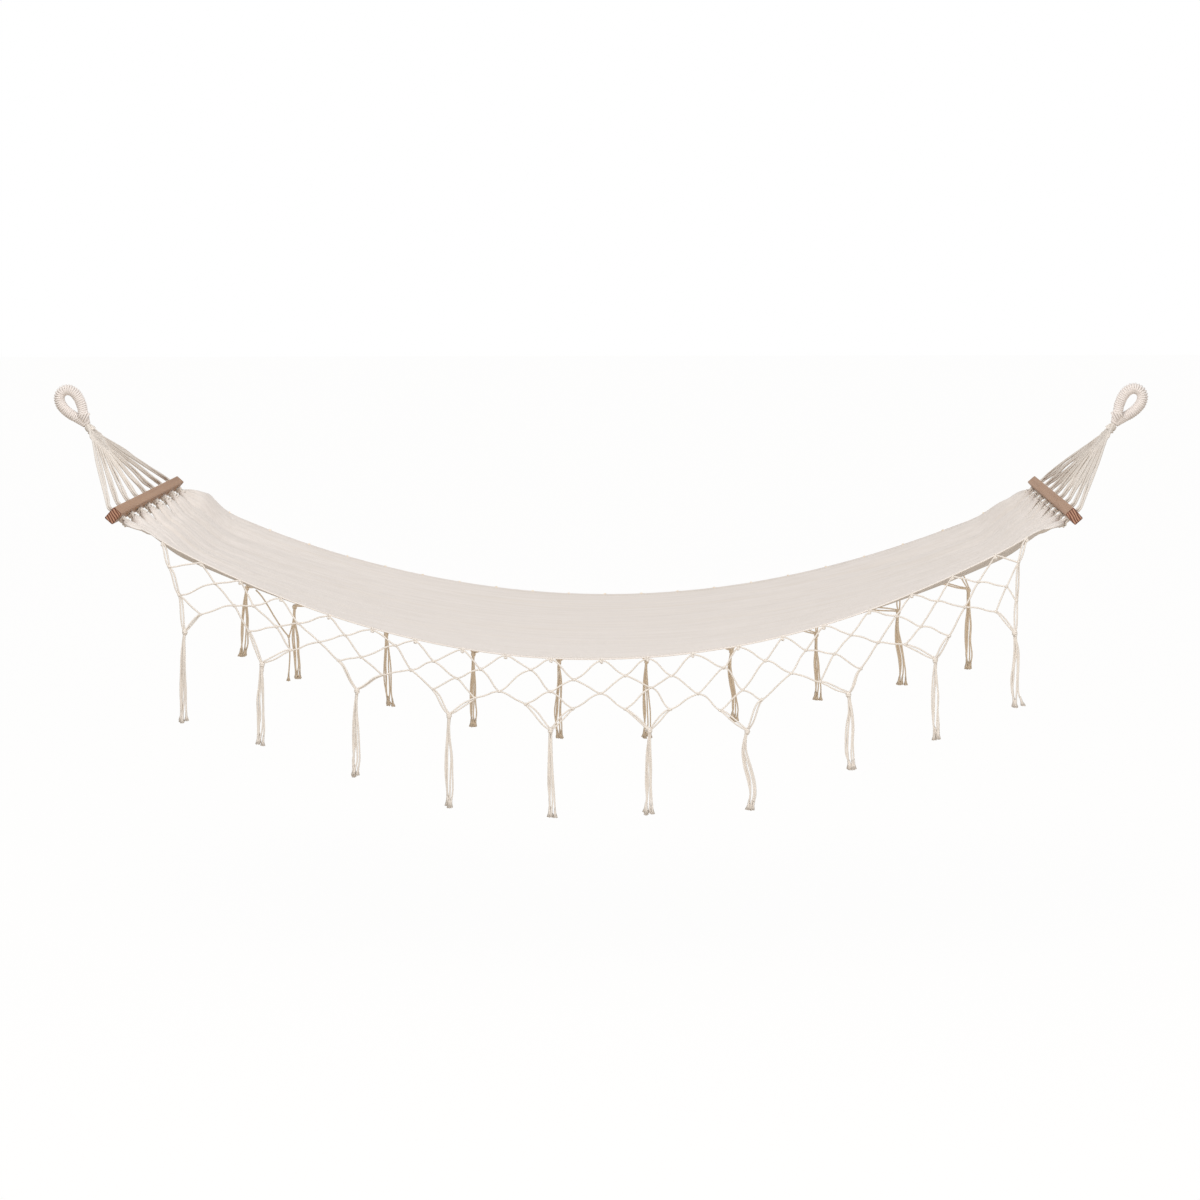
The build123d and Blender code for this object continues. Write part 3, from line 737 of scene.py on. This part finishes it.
def raw_section(x, fold, t):
    """A point of the cloth's upper side: a length from the middle, a fold and a place in it."""
    reach = abs(x)
    share = (fold + t) / HOLE_COUNT
    s = min(reach / NET_REACH, 1)
    half = BED_HALF + (CLOTH_END_HALF - BED_HALF) * max(0, (reach - NET_REACH) / (CLOTH_REACH - NET_REACH))
    capped = min(reach, NET_REACH)
    front = edge_height("front", capped)
    rear = edge_height("rear", capped)
    past = max(0, (reach - NET_REACH) / (CLOTH_REACH - NET_REACH))
    front += (FRONT_END_SAG - FRONT_CORNER) * past
    rear += (REAR_END_SAG - REAR_CORNER) * past
    bow = 1 - abs(2 * share - 1) ** (2 + 1.4 * s ** 3)
    trough = (TROUGH_MIDDLE + TROUGH_MORE * s ** 2) * (1 - past) + TROUGH_END * past
    ridge = (RIDGE_MIDDLE + RIDGE_MORE * s ** 6) * (1 - past) + RIDGE_END * min(past, 1)
    if fold == 0:
        ridge *= FRONT_RIDGE
    soft = sin(pi * t) ** 2
    arc = 4 * t * (1 - t)
    fold_shape = soft + (arc - soft) * s ** 6
    y = (2 * share - 1) * half
    z = front + (rear - front) * share - trough * bow + ridge * fold_shape
    return np.array((x, y, z))


# Heights of the wrinkles down the bed and of those that fan out where it nears a bar
LONG_WRINKLES, WIDE_WRINKLES = 0.0008, 0.0024
FAN_WRINKLES, FINE_WRINKLES = 0.0028, 0.0014
FAN_START, FAN_LENGTH = 0.72, 0.36


def wrinkle(x, share, end_name):
    """Small folds of the cloth: long ones down the bed, and a fan of them at each end."""
    reach = abs(x)
    seed = 3.7 if end_name == "left" else 9.1
    long_fold = noise.noise(Vector((x * 2.6, share * 15 + 1.5 * x, 4.0)))
    longer = noise.noise(Vector((x * 1.4 + 11, share * 5.5 - x, 8.0)))
    more = 1.25 if x > 0 else 0.8
    height = (LONG_WRINKLES * long_fold + WIDE_WRINKLES * longer) * more
    near = ease((reach - FAN_START) / FAN_LENGTH)
    spread = noise.noise(Vector((x * 5, share * 62, seed)))
    finer = noise.noise(Vector((x * 9, share * 120, seed + 3)))
    return height + near * (FAN_WRINKLES * spread + FINE_WRINKLES * finer)


# Gathers of the cloth: pleats from where they start, and each tongue's swell and bunching
PLEAT_START = 0.93
PLEAT_HEIGHT = 0.0042
TONGUE_SWELL = 0.0045
TONGUE_BUNCH = 0.0052


def bed_point(x, fold, t, end_name):
    """A point of the sheet, out to the lashed ends of its tongues."""
    reach = abs(x)
    share = (fold + t) / HOLE_COUNT
    sign = 1 if x > 0 else -1
    slit_row = SLITS[end_name]
    base = section_point(sign * min(reach, CLOTH_REACH), fold, t, end_name)
    base[2] += wrinkle(x, share, end_name)
    near = ease((reach - PLEAT_START) / (KNOT_X - PLEAT_START))
    pleat = sin(2 * pi * (4 * t + 0.3 * sin(5.1 * fold))) * (0.6 + 0.4 * sin(2.3 * fold + 9 * t))
    edge = sin(pi * t) ** 0.5 if 0 < t < 1 else 0.0
    base[2] += PLEAT_HEIGHT * near ** 2 * pleat * edge
    left_slit = slit_row[fold - 1] if fold > 0 else OUTER_SLIT
    right_slit = slit_row[fold] if fold < HOLE_COUNT - 1 else OUTER_SLIT
    slit = left_slit + (right_slit - left_slit) * t
    if reach <= slit:
        if reach > CLOTH_REACH:
            base[0] = x
        return base
    w = (reach - slit) / (TONGUE_END - slit)
    knot = np.array((sign * KNOT_X, HOLES[fold] + (t - 0.5) * 2 * TONGUE_HALF, KNOT_Z))
    root = section_point(sign * min(slit, CLOTH_REACH), fold, t, end_name)
    root[0] = sign * slit
    root[2] += wrinkle(sign * slit, share, end_name)
    draw = 0.22 * w + 0.78 * w ** 3.6
    y = root[1] + (knot[1] - root[1]) * draw
    z = root[2] + (knot[2] - root[2]) * ease(w) ** 0.9
    swell = TONGUE_SWELL * sin(pi * w) * sin(pi * t)
    bunch = TONGUE_BUNCH * w ** 0.7 * sin(2 * pi * (4 * t + 0.3 * sin(5.1 * fold)))
    return np.array((x, y, z + swell + bunch + PLEAT_HEIGHT * near ** 2 * pleat * edge * (1 - w)))


MAIN_REACH, MAIN_ROWS = 0.96, 193
TAIL_START, TAIL_ROWS = 0.966, 34
WELD = 0.0002


def bed_rows():
    """The lengths of the sheet's rows of points, closer together at the tongues."""
    main = list(np.linspace(-MAIN_REACH, MAIN_REACH, MAIN_ROWS))
    tail = list(np.linspace(TAIL_START, TONGUE_END, TAIL_ROWS))
    return [-x for x in reversed(tail)] + main + tail


def bed(material, thread):
    """The sheet with its tongues, its hems and its stitches."""
    rows = bed_rows()
    points, faces = [], []
    per_fold = COLUMNS_PER_FOLD + 1
    width = HOLE_COUNT * per_fold
    for x in rows:
        end_name = "left" if x < 0 else "right"
        for fold in range(HOLE_COUNT):
            for k in range(per_fold):
                point = bed_point(x, fold, k / COLUMNS_PER_FOLD, end_name)
                points.append((MIDDLE_X + point[0], point[1], point[2] - BAR_DROP - CLOTH_T / 2))
    for row in range(len(rows) - 1):
        for fold in range(HOLE_COUNT):
            for k in range(COLUMNS_PER_FOLD):
                a = row * width + fold * per_fold + k
                faces.append((a, a + 1, a + width + 1, a + width))
    mesh = bpy.data.meshes.new("bed_sheet")
    mesh.from_pydata(points, [], faces)
    work = bmesh.new()
    work.from_mesh(mesh)
    bmesh.ops.remove_doubles(work, verts=work.verts, dist=WELD)
    work.to_mesh(mesh)
    work.free()
    mesh.polygons.foreach_set("use_smooth", [True] * len(mesh.polygons))
    sheet = place_piece(mesh, "bed_sheet", material, "hammock")
    solid = sheet.modifiers.new("thickness", "SOLIDIFY")
    solid.thickness = CLOTH_T
    solid.offset = 0
    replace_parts(sheet, "bed_cloth", "left_bed_tongues", "right_bed_tongues")
    return sheet, bed_hems(material), bed_stitches(thread)


def edge_point(edge, x, inward=0.0):
    """A point on the cloth's long edge, or a little in from it, in the row's frame."""
    share = inward / (2 * BED_HALF)
    t = share * HOLE_COUNT
    fold, t = (0, t) if edge == "front" else (HOLE_COUNT - 1, 1 - t)
    point = bed_point(x, fold, t, "left" if x < 0 else "right")
    return np.array((MIDDLE_X + point[0], point[1], point[2] - BAR_DROP))


HEM = 0.014
HEM_R = 0.0017
HEM_REACH = 1.065
STITCHED_REACH = 1.0
STITCH_PITCH = 0.0075
STITCH_LENGTH = 0.0052
STITCH_R = 0.0004
STITCH_LIFTS = (-0.0002, 0.0004, -0.0002)


def bed_hems(material):
    """The turned hems along both long edges."""
    cords = Cords()
    for edge in ("front", "rear"):
        outer = -1 if edge == "front" else 1
        line = [edge_point(edge, x) + np.array((0, -outer * 0.0005, -CLOTH_T / 2))
                for x in np.linspace(-HEM_REACH, HEM_REACH, 240)]
        cords.add(line, HEM_R, 8, 0.0)
    return cords.object("bed_hems", material, "hammock", "cloth")


def bed_stitches(material):
    """A row of stitches along each hem, a thread's thickness above the cloth."""
    cords = Cords()
    count = int(2 * STITCHED_REACH / STITCH_PITCH)
    half = STITCH_LENGTH / 2
    for edge in ("front", "rear"):
        for k in range(count):
            x = -STITCHED_REACH + (k + 0.5) * STITCH_PITCH
            ends = [edge_point(edge, x + shift, HEM) for shift in (-half, 0, half)]
            line = [end + np.array((0, 0, lift)) for end, lift in zip(ends, STITCH_LIFTS)]
            cords.add(line, STITCH_R, 4)
    return cords.object("bed_stitches", material, "hammock", "cloth")


# The fringe nets

NET_R = 0.0021
LEG_GAP = 0.0056
LEG_DEPTH = 0.0008
NET_Y = BED_HALF + 0.00175
NET_SWAY = 0.0016
NET_RIPPLE = 0.0006
KNOT_R, KNOT_HEIGHT, KNOT_CORE = 0.0026, 0.0038, 0.0022
HITCH_R, HITCH_WIDTH, HITCH_TURNS = 0.0040, 0.0035, 1.3

# Knots of the front net, placed from the photograph: middle length and bar-level height
FRONT_EDGE = [-1.006, -0.914, -0.822, -0.726, -0.613, -0.511, -0.410, -0.299, -0.197, -0.090, 0.029,
              0.137, 0.243, 0.350, 0.454, 0.550, 0.656, 0.754, 0.848, 0.948, 1.022]
FRONT_ROWS = [
    [(-0.989, -0.110), (-0.881, -0.149), (-0.792, -0.202), (-0.688, -0.244), (-0.576, -0.272),
     (-0.457, -0.296), (-0.367, -0.333), (-0.256, -0.352), (-0.137, -0.353), (-0.037, -0.377),
     (0.085, -0.367), (0.193, -0.367), (0.317, -0.347), (0.414, -0.330), (0.509, -0.305),
     (0.614, -0.269), (0.718, -0.224), (0.814, -0.188), (0.909, -0.143), (1.001, -0.096)],
    [(-0.967, -0.177), (-0.837, -0.202), (-0.738, -0.252), (-0.637, -0.288), (-0.539, -0.324),
     (-0.421, -0.355), (-0.313, -0.374), (-0.213, -0.405), (-0.092, -0.405), (0.027, -0.409),
     (0.147, -0.395), (0.256, -0.409), (0.361, -0.400), (0.475, -0.360), (0.575, -0.314),
     (0.678, -0.286), (0.777, -0.248), (0.878, -0.202), (0.974, -0.154)],
    [(-0.918, -0.223), (-0.804, -0.263), (-0.706, -0.308), (-0.593, -0.332), (-0.488, -0.366),
     (-0.370, -0.400), (-0.270, -0.421), (-0.151, -0.435), (-0.039, -0.446), (0.084, -0.447),
     (0.191, -0.447), (0.308, -0.449), (0.406, -0.423), (0.542, -0.380), (0.638, -0.348),
     (0.741, -0.291), (0.843, -0.270), (0.950, -0.213)],
]
RIGHT_CHAIN = (0.998, -0.187)
FRONT_TASSELS = [(-0.956, -0.264), (-0.774, -0.341), (-0.550, -0.404), (-0.332, -0.462), (-0.092, -0.497),
                 (0.142, -0.497), (0.372, -0.498), (0.609, -0.409), (0.811, -0.326), (0.995, -0.263)]
FRONT_FEET = [(-0.968, -0.476), (-0.783, -0.529), (-0.558, -0.605), (-0.335, -0.679), (-0.092, -0.705),
              (0.138, -0.694), (0.377, -0.680), (0.617, -0.583), (0.814, -0.510), (1.001, -0.433)]
REAR_TASSELS = [(-0.975, -0.295), (-0.845, -0.345), (-0.596, -0.419), (-0.359, -0.474), (-0.126, -0.496),
                (0.112, -0.492), (0.342, -0.465), (0.571, -0.418), (0.791, -0.356), (0.979, -0.297)]
REAR_FEET = [(-0.988, -0.478), (-0.842, -0.539), (-0.591, -0.613), (-0.362, -0.670), (-0.127, -0.703),
             (0.110, -0.702), (0.348, -0.653), (0.574, -0.592), (0.800, -0.551), (0.981, -0.509)]
ROW_DEPTHS = [0.050, 0.088, 0.124]


def net_point(knot, side, off=0.0):
    """A place in the front or rear net, in space."""
    return np.array((MIDDLE_X + knot[0], side * (NET_Y + off), knot[1] - BAR_DROP))


def net_line(start, end, bend):
    """A strand between two knots with a lazy S-bend: it leaves both knots flatter than it runs."""
    start, end = np.asarray(start), np.asarray(end)
    gap = end - start
    length = np.linalg.norm(gap)
    flat = unit((gap[0], 0, -0.15 * gap[2])) * length * 1.25
    uneven = 0.75 + 0.5 * rng.random()
    first = gap + (flat - gap) * bend * uneven
    last = gap + (flat - gap) * bend * (1.6 - uneven)
    sway = rng.normal(0, NET_SWAY)
    line = []
    for t in np.linspace(0, 1, 13):
        h = (2 * t ** 3 - 3 * t ** 2 + 1, t ** 3 - 2 * t ** 2 + t, -2 * t ** 3 + 3 * t ** 2, t ** 3 - t ** 2)
        point = start * h[0] + first * h[1] + end * h[2] + last * h[3]
        point[1] += sway * sin(pi * t)
        point[2] += NET_RIPPLE * sin(9 * t + start[0] * 50)
        line.append(point)
    return line


def net_knot(cords, point):
    """A small overhand knot: two turns of cord and the bump between them."""
    axis = unit((rng.normal(0, 0.5), rng.normal(0, 0.35), 1.0))
    turns = coil(point, axis, KNOT_R, KNOT_HEIGHT, 1.8, rng.random() * 6, 10)
    cords.add(turns, NET_R * 0.92, 6)
    core = point + np.outer((-KNOT_CORE, 0, KNOT_CORE), axis)
    cords.add(core, np.array((0.6, 1.5, 0.6)) * NET_R, 6)


def doubled(cords, start, end, bend, shade):
    """Two cords side by side, as the legs of each point are."""
    spread = LEG_GAP * (0.6 + 0.6 * rng.random())
    for turn in (-1, 1):
        line = np.array(net_line(start, end, bend))
        across = unit(np.cross(end - start, (0, 1, 0)))
        t = np.linspace(0, 1, len(line))
        line += np.outer(turn * spread / 2 * (0.5 + np.sin(pi * t) * 0.8), across)
        line[:, 1] += turn * LEG_DEPTH
        cords.add(line, NET_R, 6, shade)


def edge_hitch(cords, point, side):
    """The cord's turn through the hem, and the knot just below it."""
    middle = point + np.array((0, -side * 0.0018, 0.0))
    round_hem = coil(middle, (1, 0.2, 0), HITCH_R, HITCH_WIDTH, HITCH_TURNS, rng.random() * 6, 12)
    cords.add(round_hem, NET_R * 0.95, 6, 0.05)
    net_knot(cords, point + np.array((0, side * 0.001, -0.005)))


MEAN_BEND, BEND_SLOPE = 0.42, 0.55
LEAST_BEND, MOST_BEND = 0.06, 0.9
CHAIN_BEND = 0.2


def strand_bend(x):
    """How lazily a strand hangs at a middle length, more so where it runs with the bed's slope."""
    return min(max(MEAN_BEND + BEND_SLOPE * x, LEAST_BEND), MOST_BEND)


def net_strands(cords, edge, rows, tassels, side, shade):
    """The strands from knot to knot, the knots, and the doubled legs down to the tassels."""
    for point in edge:
        edge_hitch(cords, point, side)
    levels = [edge, *rows]
    for upper, lower in zip(levels, levels[1:]):
        for i, knot in enumerate(lower):
            x = knot[0] - MIDDLE_X
            flow, counter = strand_bend(x), strand_bend(-x)
            doubled_chain = side < 0 and i == 0 and lower is not rows[2]
            right_chain = side < 0 and i == len(lower) - 1 and lower is rows[0]
            if doubled_chain:
                doubled(cords, upper[0], knot, CHAIN_BEND, shade)
            else:
                cords.add(net_line(upper[i], knot, flow), NET_R, 6, shade + 0.1 * rng.random())
            if right_chain:
                doubled(cords, upper[i + 1], knot, CHAIN_BEND, shade)
            else:
                cords.add(net_line(upper[i + 1], knot, counter), NET_R, 6, shade + 0.1 * rng.random())
    for row in rows:
        for knot in row:
            net_knot(cords, knot)
    feet = rows[-1]
    last = len(tassels) - 1
    for j, place in enumerate(tassels):
        left = rows[1][0] if j == 0 else feet[2 * j - 1]
        right = feet[0] if j == 0 else (rows[1][-1] if j == last else feet[2 * j])
        if j == last and side < 0:
            left, right = feet[-1], net_point(RIGHT_CHAIN, side)
        for start, shift in ((left, -0.001), (right, 0.001)):
            end = net_point(place, side) + np.array((shift, 0, 0.003))
            doubled(cords, start, end, 0.1 + 0.3 * rng.random(), shade)


def front_net(material):
    """The front net, knot by knot as placed above, with a doubled chain at its right end."""
    cords = Cords()
    edge = [edge_point("front", x) + np.array((0, -0.002, -0.003)) for x in FRONT_EDGE]
    rows = [[net_point(knot, -1, rng.normal(0, 0.0006)) for knot in row] for row in FRONT_ROWS]
    net_strands(cords, edge, rows, FRONT_TASSELS, -1, 0.0)
    chain = net_point(RIGHT_CHAIN, -1)
    doubled(cords, rows[0][-1], chain, CHAIN_BEND, 0.0)
    cords.add(net_line(rows[1][-1], chain, 0.3), NET_R, 6)
    net_knot(cords, chain)
    made = cords.object("front_net_cords", material, "hammock", "cord")
    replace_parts(made, "front_fringe_net")
    return made


# A stray cord behind the left end: two legs that meet in a knot, and one strand below it
STRAY_HEADS = [(-0.950, -0.300), (-0.835, -0.330)]
STRAY_KNOT = (-0.863, -0.428)
STRAY_FOOT = (-0.865, -0.531)


def stray_strand(cords):
    """The stray cord, hung from the rear net."""
    # Painted shade: the stray cord hangs behind the bed and is darkened by a tenth.
    knot = net_point(STRAY_KNOT, 1, 0.004)
    for head in STRAY_HEADS:
        cords.add(net_line(net_point(head, 1, 0.001), knot, 0.2), NET_R, 6, 0.1)
    net_knot(cords, knot)
    foot = net_point(STRAY_FOOT, 1, 0.004)
    line = smooth([knot, knot * 0.5 + foot * 0.5 + np.array((0.003, 0, 0)), foot], 0.01)
    cords.add(line, NET_R, 6, 0.1)
    frayed_end(cords, line[-1], line[-1] - line[-2], 0.1)


REAR_CROWDING = 0.035
REAR_FLARE = 0.4
REAR_UNEVEN = 0.004
# Painted shade on the rear net and its tassels, which hang in the bed's shade
REAR_SHADE = 0.05


def rear_net(material):
    """The rear net: even rows, a little wider towards the bottom, with uneven knots."""
    cords = Cords()
    count = len(FRONT_EDGE)
    steps = np.linspace(-1, 1, count)
    xs = [NET_REACH * step * (1 - REAR_CROWDING * (1 - step ** 2)) for step in steps]
    edge = [edge_point("rear", x) + np.array((0, 0.002, -0.003)) for x in xs]
    rows = []
    for level, depth in enumerate(ROW_DEPTHS, start=1):
        row = []
        for i in range(count - level):
            place = i + level / 2
            low = int(place)
            x = xs[low] + (xs[min(low + 1, count - 1)] - xs[low]) * (place - low)
            drop = depth + rng.normal(0, REAR_UNEVEN)
            knot = (x * (1 + REAR_FLARE * drop) + rng.normal(0, REAR_UNEVEN), edge_height("rear", x) - drop)
            row.append(net_point(knot, 1, rng.normal(0, 0.0006)))
        rows.append(row)
    net_strands(cords, edge, rows, REAR_TASSELS, 1, REAR_SHADE)
    stray_strand(cords)
    made = cords.object("rear_net_cords", material, "hammock", "cord")
    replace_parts(made, "rear_fringe_net")
    return made


# Tassels

TASSEL_STRANDS = 5
STRAND_R = 0.0021
TASSEL_KNOT_R, TASSEL_KNOT_HEIGHT = 0.0046, 0.0095
FIBRES = 12
FIBRE_LENGTH, FIBRE_UNEVEN = 0.019, 0.002
FIBRE_RADII = [0.0011, 0.0014, 0.0011]
# How far the strands flare at the foot, how far the two groups part, and how far both sway
FLARE, FLARE_UNEVEN = 0.0070, 0.003
PARTING, PARTING_UNEVEN = 0.0036, 0.0030
TASSEL_SWAY = 0.0026


def frayed_end(cords, point, way, shade):
    """The brush of loose fibres at the end of one strand."""
    for k in range(FIBRES):
        out = np.array((cos(2.4 * k), sin(2.4 * k), 0)) * (0.06 + 0.24 * (k / (FIBRES - 1)) ** 0.5)
        length = FIBRE_LENGTH + FIBRE_UNEVEN * rng.random()
        tip = (unit(way) + out) * length
        middle = (unit(way) + out * 0.6) * length * 0.5
        start = point + out * 0.004 + np.array((0, 0, 0.003))
        fibre = [start, point + middle, point + tip]
        cords.add(fibre, FIBRE_RADII, 4, shade + 0.15 * rng.random())


def tassel(node, knot, foot, side, material, shade):
    """A knot, its strands hanging in two loose groups, and their frayed ends."""
    cords = Cords()
    top = net_point(knot, side)
    bottom = net_point(foot, side)
    cords.add(coil(top + np.array((0, 0, -0.0010)), (0.1 * rng.normal(), 0.1, 1), TASSEL_KNOT_R,
                   TASSEL_KNOT_HEIGHT, 2.6, rng.random() * 6), NET_R * 1.05, 8, shade)
    cords.add(top + np.array(((0, 0, 0.006), (0, 0, 0.001), (0, 0, -0.009))),
              (0.0028, 0.0047, 0.0032), 10, shade)
    flare = FLARE + FLARE_UNEVEN * rng.random()
    parting = PARTING + PARTING_UNEVEN * rng.random()
    sway = rng.normal(0, TASSEL_SWAY)
    for k in range(TASSEL_STRANDS):
        group = -1 if k < TASSEL_STRANDS / 2 else 1
        angle = 2 * pi * k / TASSEL_STRANDS + rng.random() * 0.5
        place = (k - (TASSEL_STRANDS - 1) / 2) / (TASSEL_STRANDS / 2)
        points = []
        for t in (0.0, 0.06, 0.25, 0.45, 0.65, 0.82, 0.915):
            centre = top + (bottom - top) * t + np.array((sway * sin(2 * pi * t), 0, 0))
            ring = 0.0022 + 0.0008 * t
            part = parting * (ease(t / 0.5) - 0.75 * ease((t - 0.72) / 0.2)) * group
            open_out = flare * ease((t - 0.62) / 0.38) * place
            wave = rng.normal(0, 0.0008)
            points.append(centre + np.array((
                ring * cos(angle) + part + open_out + wave,
                ring * sin(angle) + 0.4 * open_out * sin(angle) + rng.normal(0, 0.0006), 0)))
        points = np.array(points)
        points[-1][2] += rng.normal(0, 0.002)
        line = smooth(points, 0.008)
        cords.add(line, STRAND_R, 6, shade + 0.1 * rng.random())
        frayed_end(cords, line[-1], line[-1] - line[-2], shade + 0.08)
    made = cords.object(f"{node}_cords", material, node, "cord")
    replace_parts(made, node)
    return made


# Floor and light

FLOOR_DROP = 1.42
FLOOR_REACH = 30
FLOOR_COLOUR = (0.52, 0.46, 0.38, 1)
# How white the floor looks to the camera, which still sees a share of its shadow
FLOOR_GLOW = 1.035
FLOOR_GLOW_SHARE = 0.93


def seen_share(tree):
    """One where the camera sees a thing itself or its reflection, and zero for all other light."""
    path = tree.nodes.new("ShaderNodeLightPath")
    total = path.outputs["Is Camera Ray"]
    for name in ("Is Glossy Ray", "Is Transmission Ray"):
        larger = tree.nodes.new("ShaderNodeMath")
        larger.operation = "MAXIMUM"
        tree.links.new(total, larger.inputs[0])
        tree.links.new(path.outputs[name], larger.inputs[1])
        total = larger.outputs[0]
    return total


def floor():
    """A pale floor that looks white and keeps the object's shadow."""
    mesh = bpy.data.meshes.new("studio_floor")
    signs = ((-1, -1), (1, -1), (1, 1), (-1, 1))
    corners = [(a * FLOOR_REACH, b * FLOOR_REACH, -FLOOR_DROP) for a, b in signs]
    mesh.from_pydata(corners, [], [(0, 1, 2, 3)])
    made = bpy.data.objects.new("studio_floor", mesh)
    bpy.context.scene.collection.objects.link(made)
    material = bpy.data.materials.new("studio_floor")
    material.use_nodes = True
    tree = material.node_tree
    tree.nodes.clear()
    share = tree.nodes.new("ShaderNodeMath")
    share.operation = "MULTIPLY"
    share.inputs[1].default_value = FLOOR_GLOW_SHARE
    tree.links.new(seen_share(tree), share.inputs[0])
    pale = tree.nodes.new("ShaderNodeBsdfDiffuse")
    pale.inputs["Color"].default_value = FLOOR_COLOUR
    white = tree.nodes.new("ShaderNodeEmission")
    white.inputs["Color"].default_value = (1, 1, 1, 1)
    white.inputs["Strength"].default_value = FLOOR_GLOW
    mix = tree.nodes.new("ShaderNodeMixShader")
    out = tree.nodes.new("ShaderNodeOutputMaterial")
    tree.links.new(share.outputs[0], mix.inputs[0])
    tree.links.new(pale.outputs[0], mix.inputs[1])
    tree.links.new(white.outputs[0], mix.inputs[2])
    tree.links.new(mix.outputs[0], out.inputs[0])
    mesh.materials.append(material)


WORLD_LEVEL = 0.68


def world():
    """Even light from all around, which looks white."""
    made = bpy.data.worlds.new("studio")
    bpy.context.scene.world = made
    made.use_nodes = True
    tree = made.node_tree
    back = tree.nodes["Background"]
    back.inputs["Color"].default_value = (1, 1, 1, 1)
    level = tree.nodes.new("ShaderNodeMath")
    level.operation = "MULTIPLY_ADD"
    level.inputs[1].default_value = 1 - WORLD_LEVEL
    level.inputs[2].default_value = WORLD_LEVEL
    tree.links.new(seen_share(tree), level.inputs[0])
    tree.links.new(level.outputs[0], back.inputs["Strength"])


def lamp(name, at, aim, size, power):
    """A round soft light, turned to what it lights."""
    data = bpy.data.lights.new(name, "AREA")
    data.shape = "DISK"
    data.size = size
    data.energy = power
    made = bpy.data.objects.new(name, data)
    made.location = at
    made.rotation_mode = "QUATERNION"
    made.rotation_quaternion = (Vector(aim) - Vector(at)).to_track_quat("-Z", "Y")
    bpy.context.scene.collection.objects.link(made)


# The whole scene

make_camera()
bpy.context.scene.view_settings.view_transform = "Standard"
floor()
world()
lamp("key", at=(0.6, -3.2, 3.8), aim=(MIDDLE_X, 0, -0.45), size=2.8, power=135)
lamp("low_fill", at=(2.4, -4.8, -0.75), aim=(MIDDLE_X, 0.4, -0.75), size=1.2, power=60)

cotton = cord_material("cotton_cord", linear(231, 224, 216), linear(188, 174, 160))
serving = cord_material("serving_cord", linear(232, 224, 219), linear(190, 178, 168),
                        lay=0.012, groove_shade=0.08)
# The rear net's cotton: painted shade, a warmer tan copy of the cotton for cords that hang in the bed's
# shade
cotton_in_painted_shade = cord_material("shaded_cotton_cord", linear(246, 230, 208), linear(204, 184, 158))
canvas = cloth_material()
thread = thread_material()
wood = wood_material()

for side_name in ("left", "right"):
    bar = frame["nodes"][f"{side_name}_spreader_bar"]
    bar.data.materials.clear()
    bar.data.materials.append(wood)
    eye_core(side_name, cotton)
    eye_serving(side_name, serving)
    eye_seizing(side_name, serving)
    clew(side_name, cotton)
    bar_knots(side_name, cotton)

sheet, hems, stitches = bed(canvas, thread)
fringe = [hems, stitches, front_net(cotton), rear_net(cotton_in_painted_shade)]
for edge_name, side_sign, knots, feet, look, painted_shade in (
    ("front", -1, FRONT_TASSELS, FRONT_FEET, cotton, 0.0),
    ("rear", 1, REAR_TASSELS, REAR_FEET, cotton_in_painted_shade, REAR_SHADE),
):
    for number, (knot, foot) in enumerate(zip(knots, feet), start=1):
        fringe.append(tassel(f"{edge_name}_tassel_{number:02d}", knot, foot, side_sign, look, painted_shade))
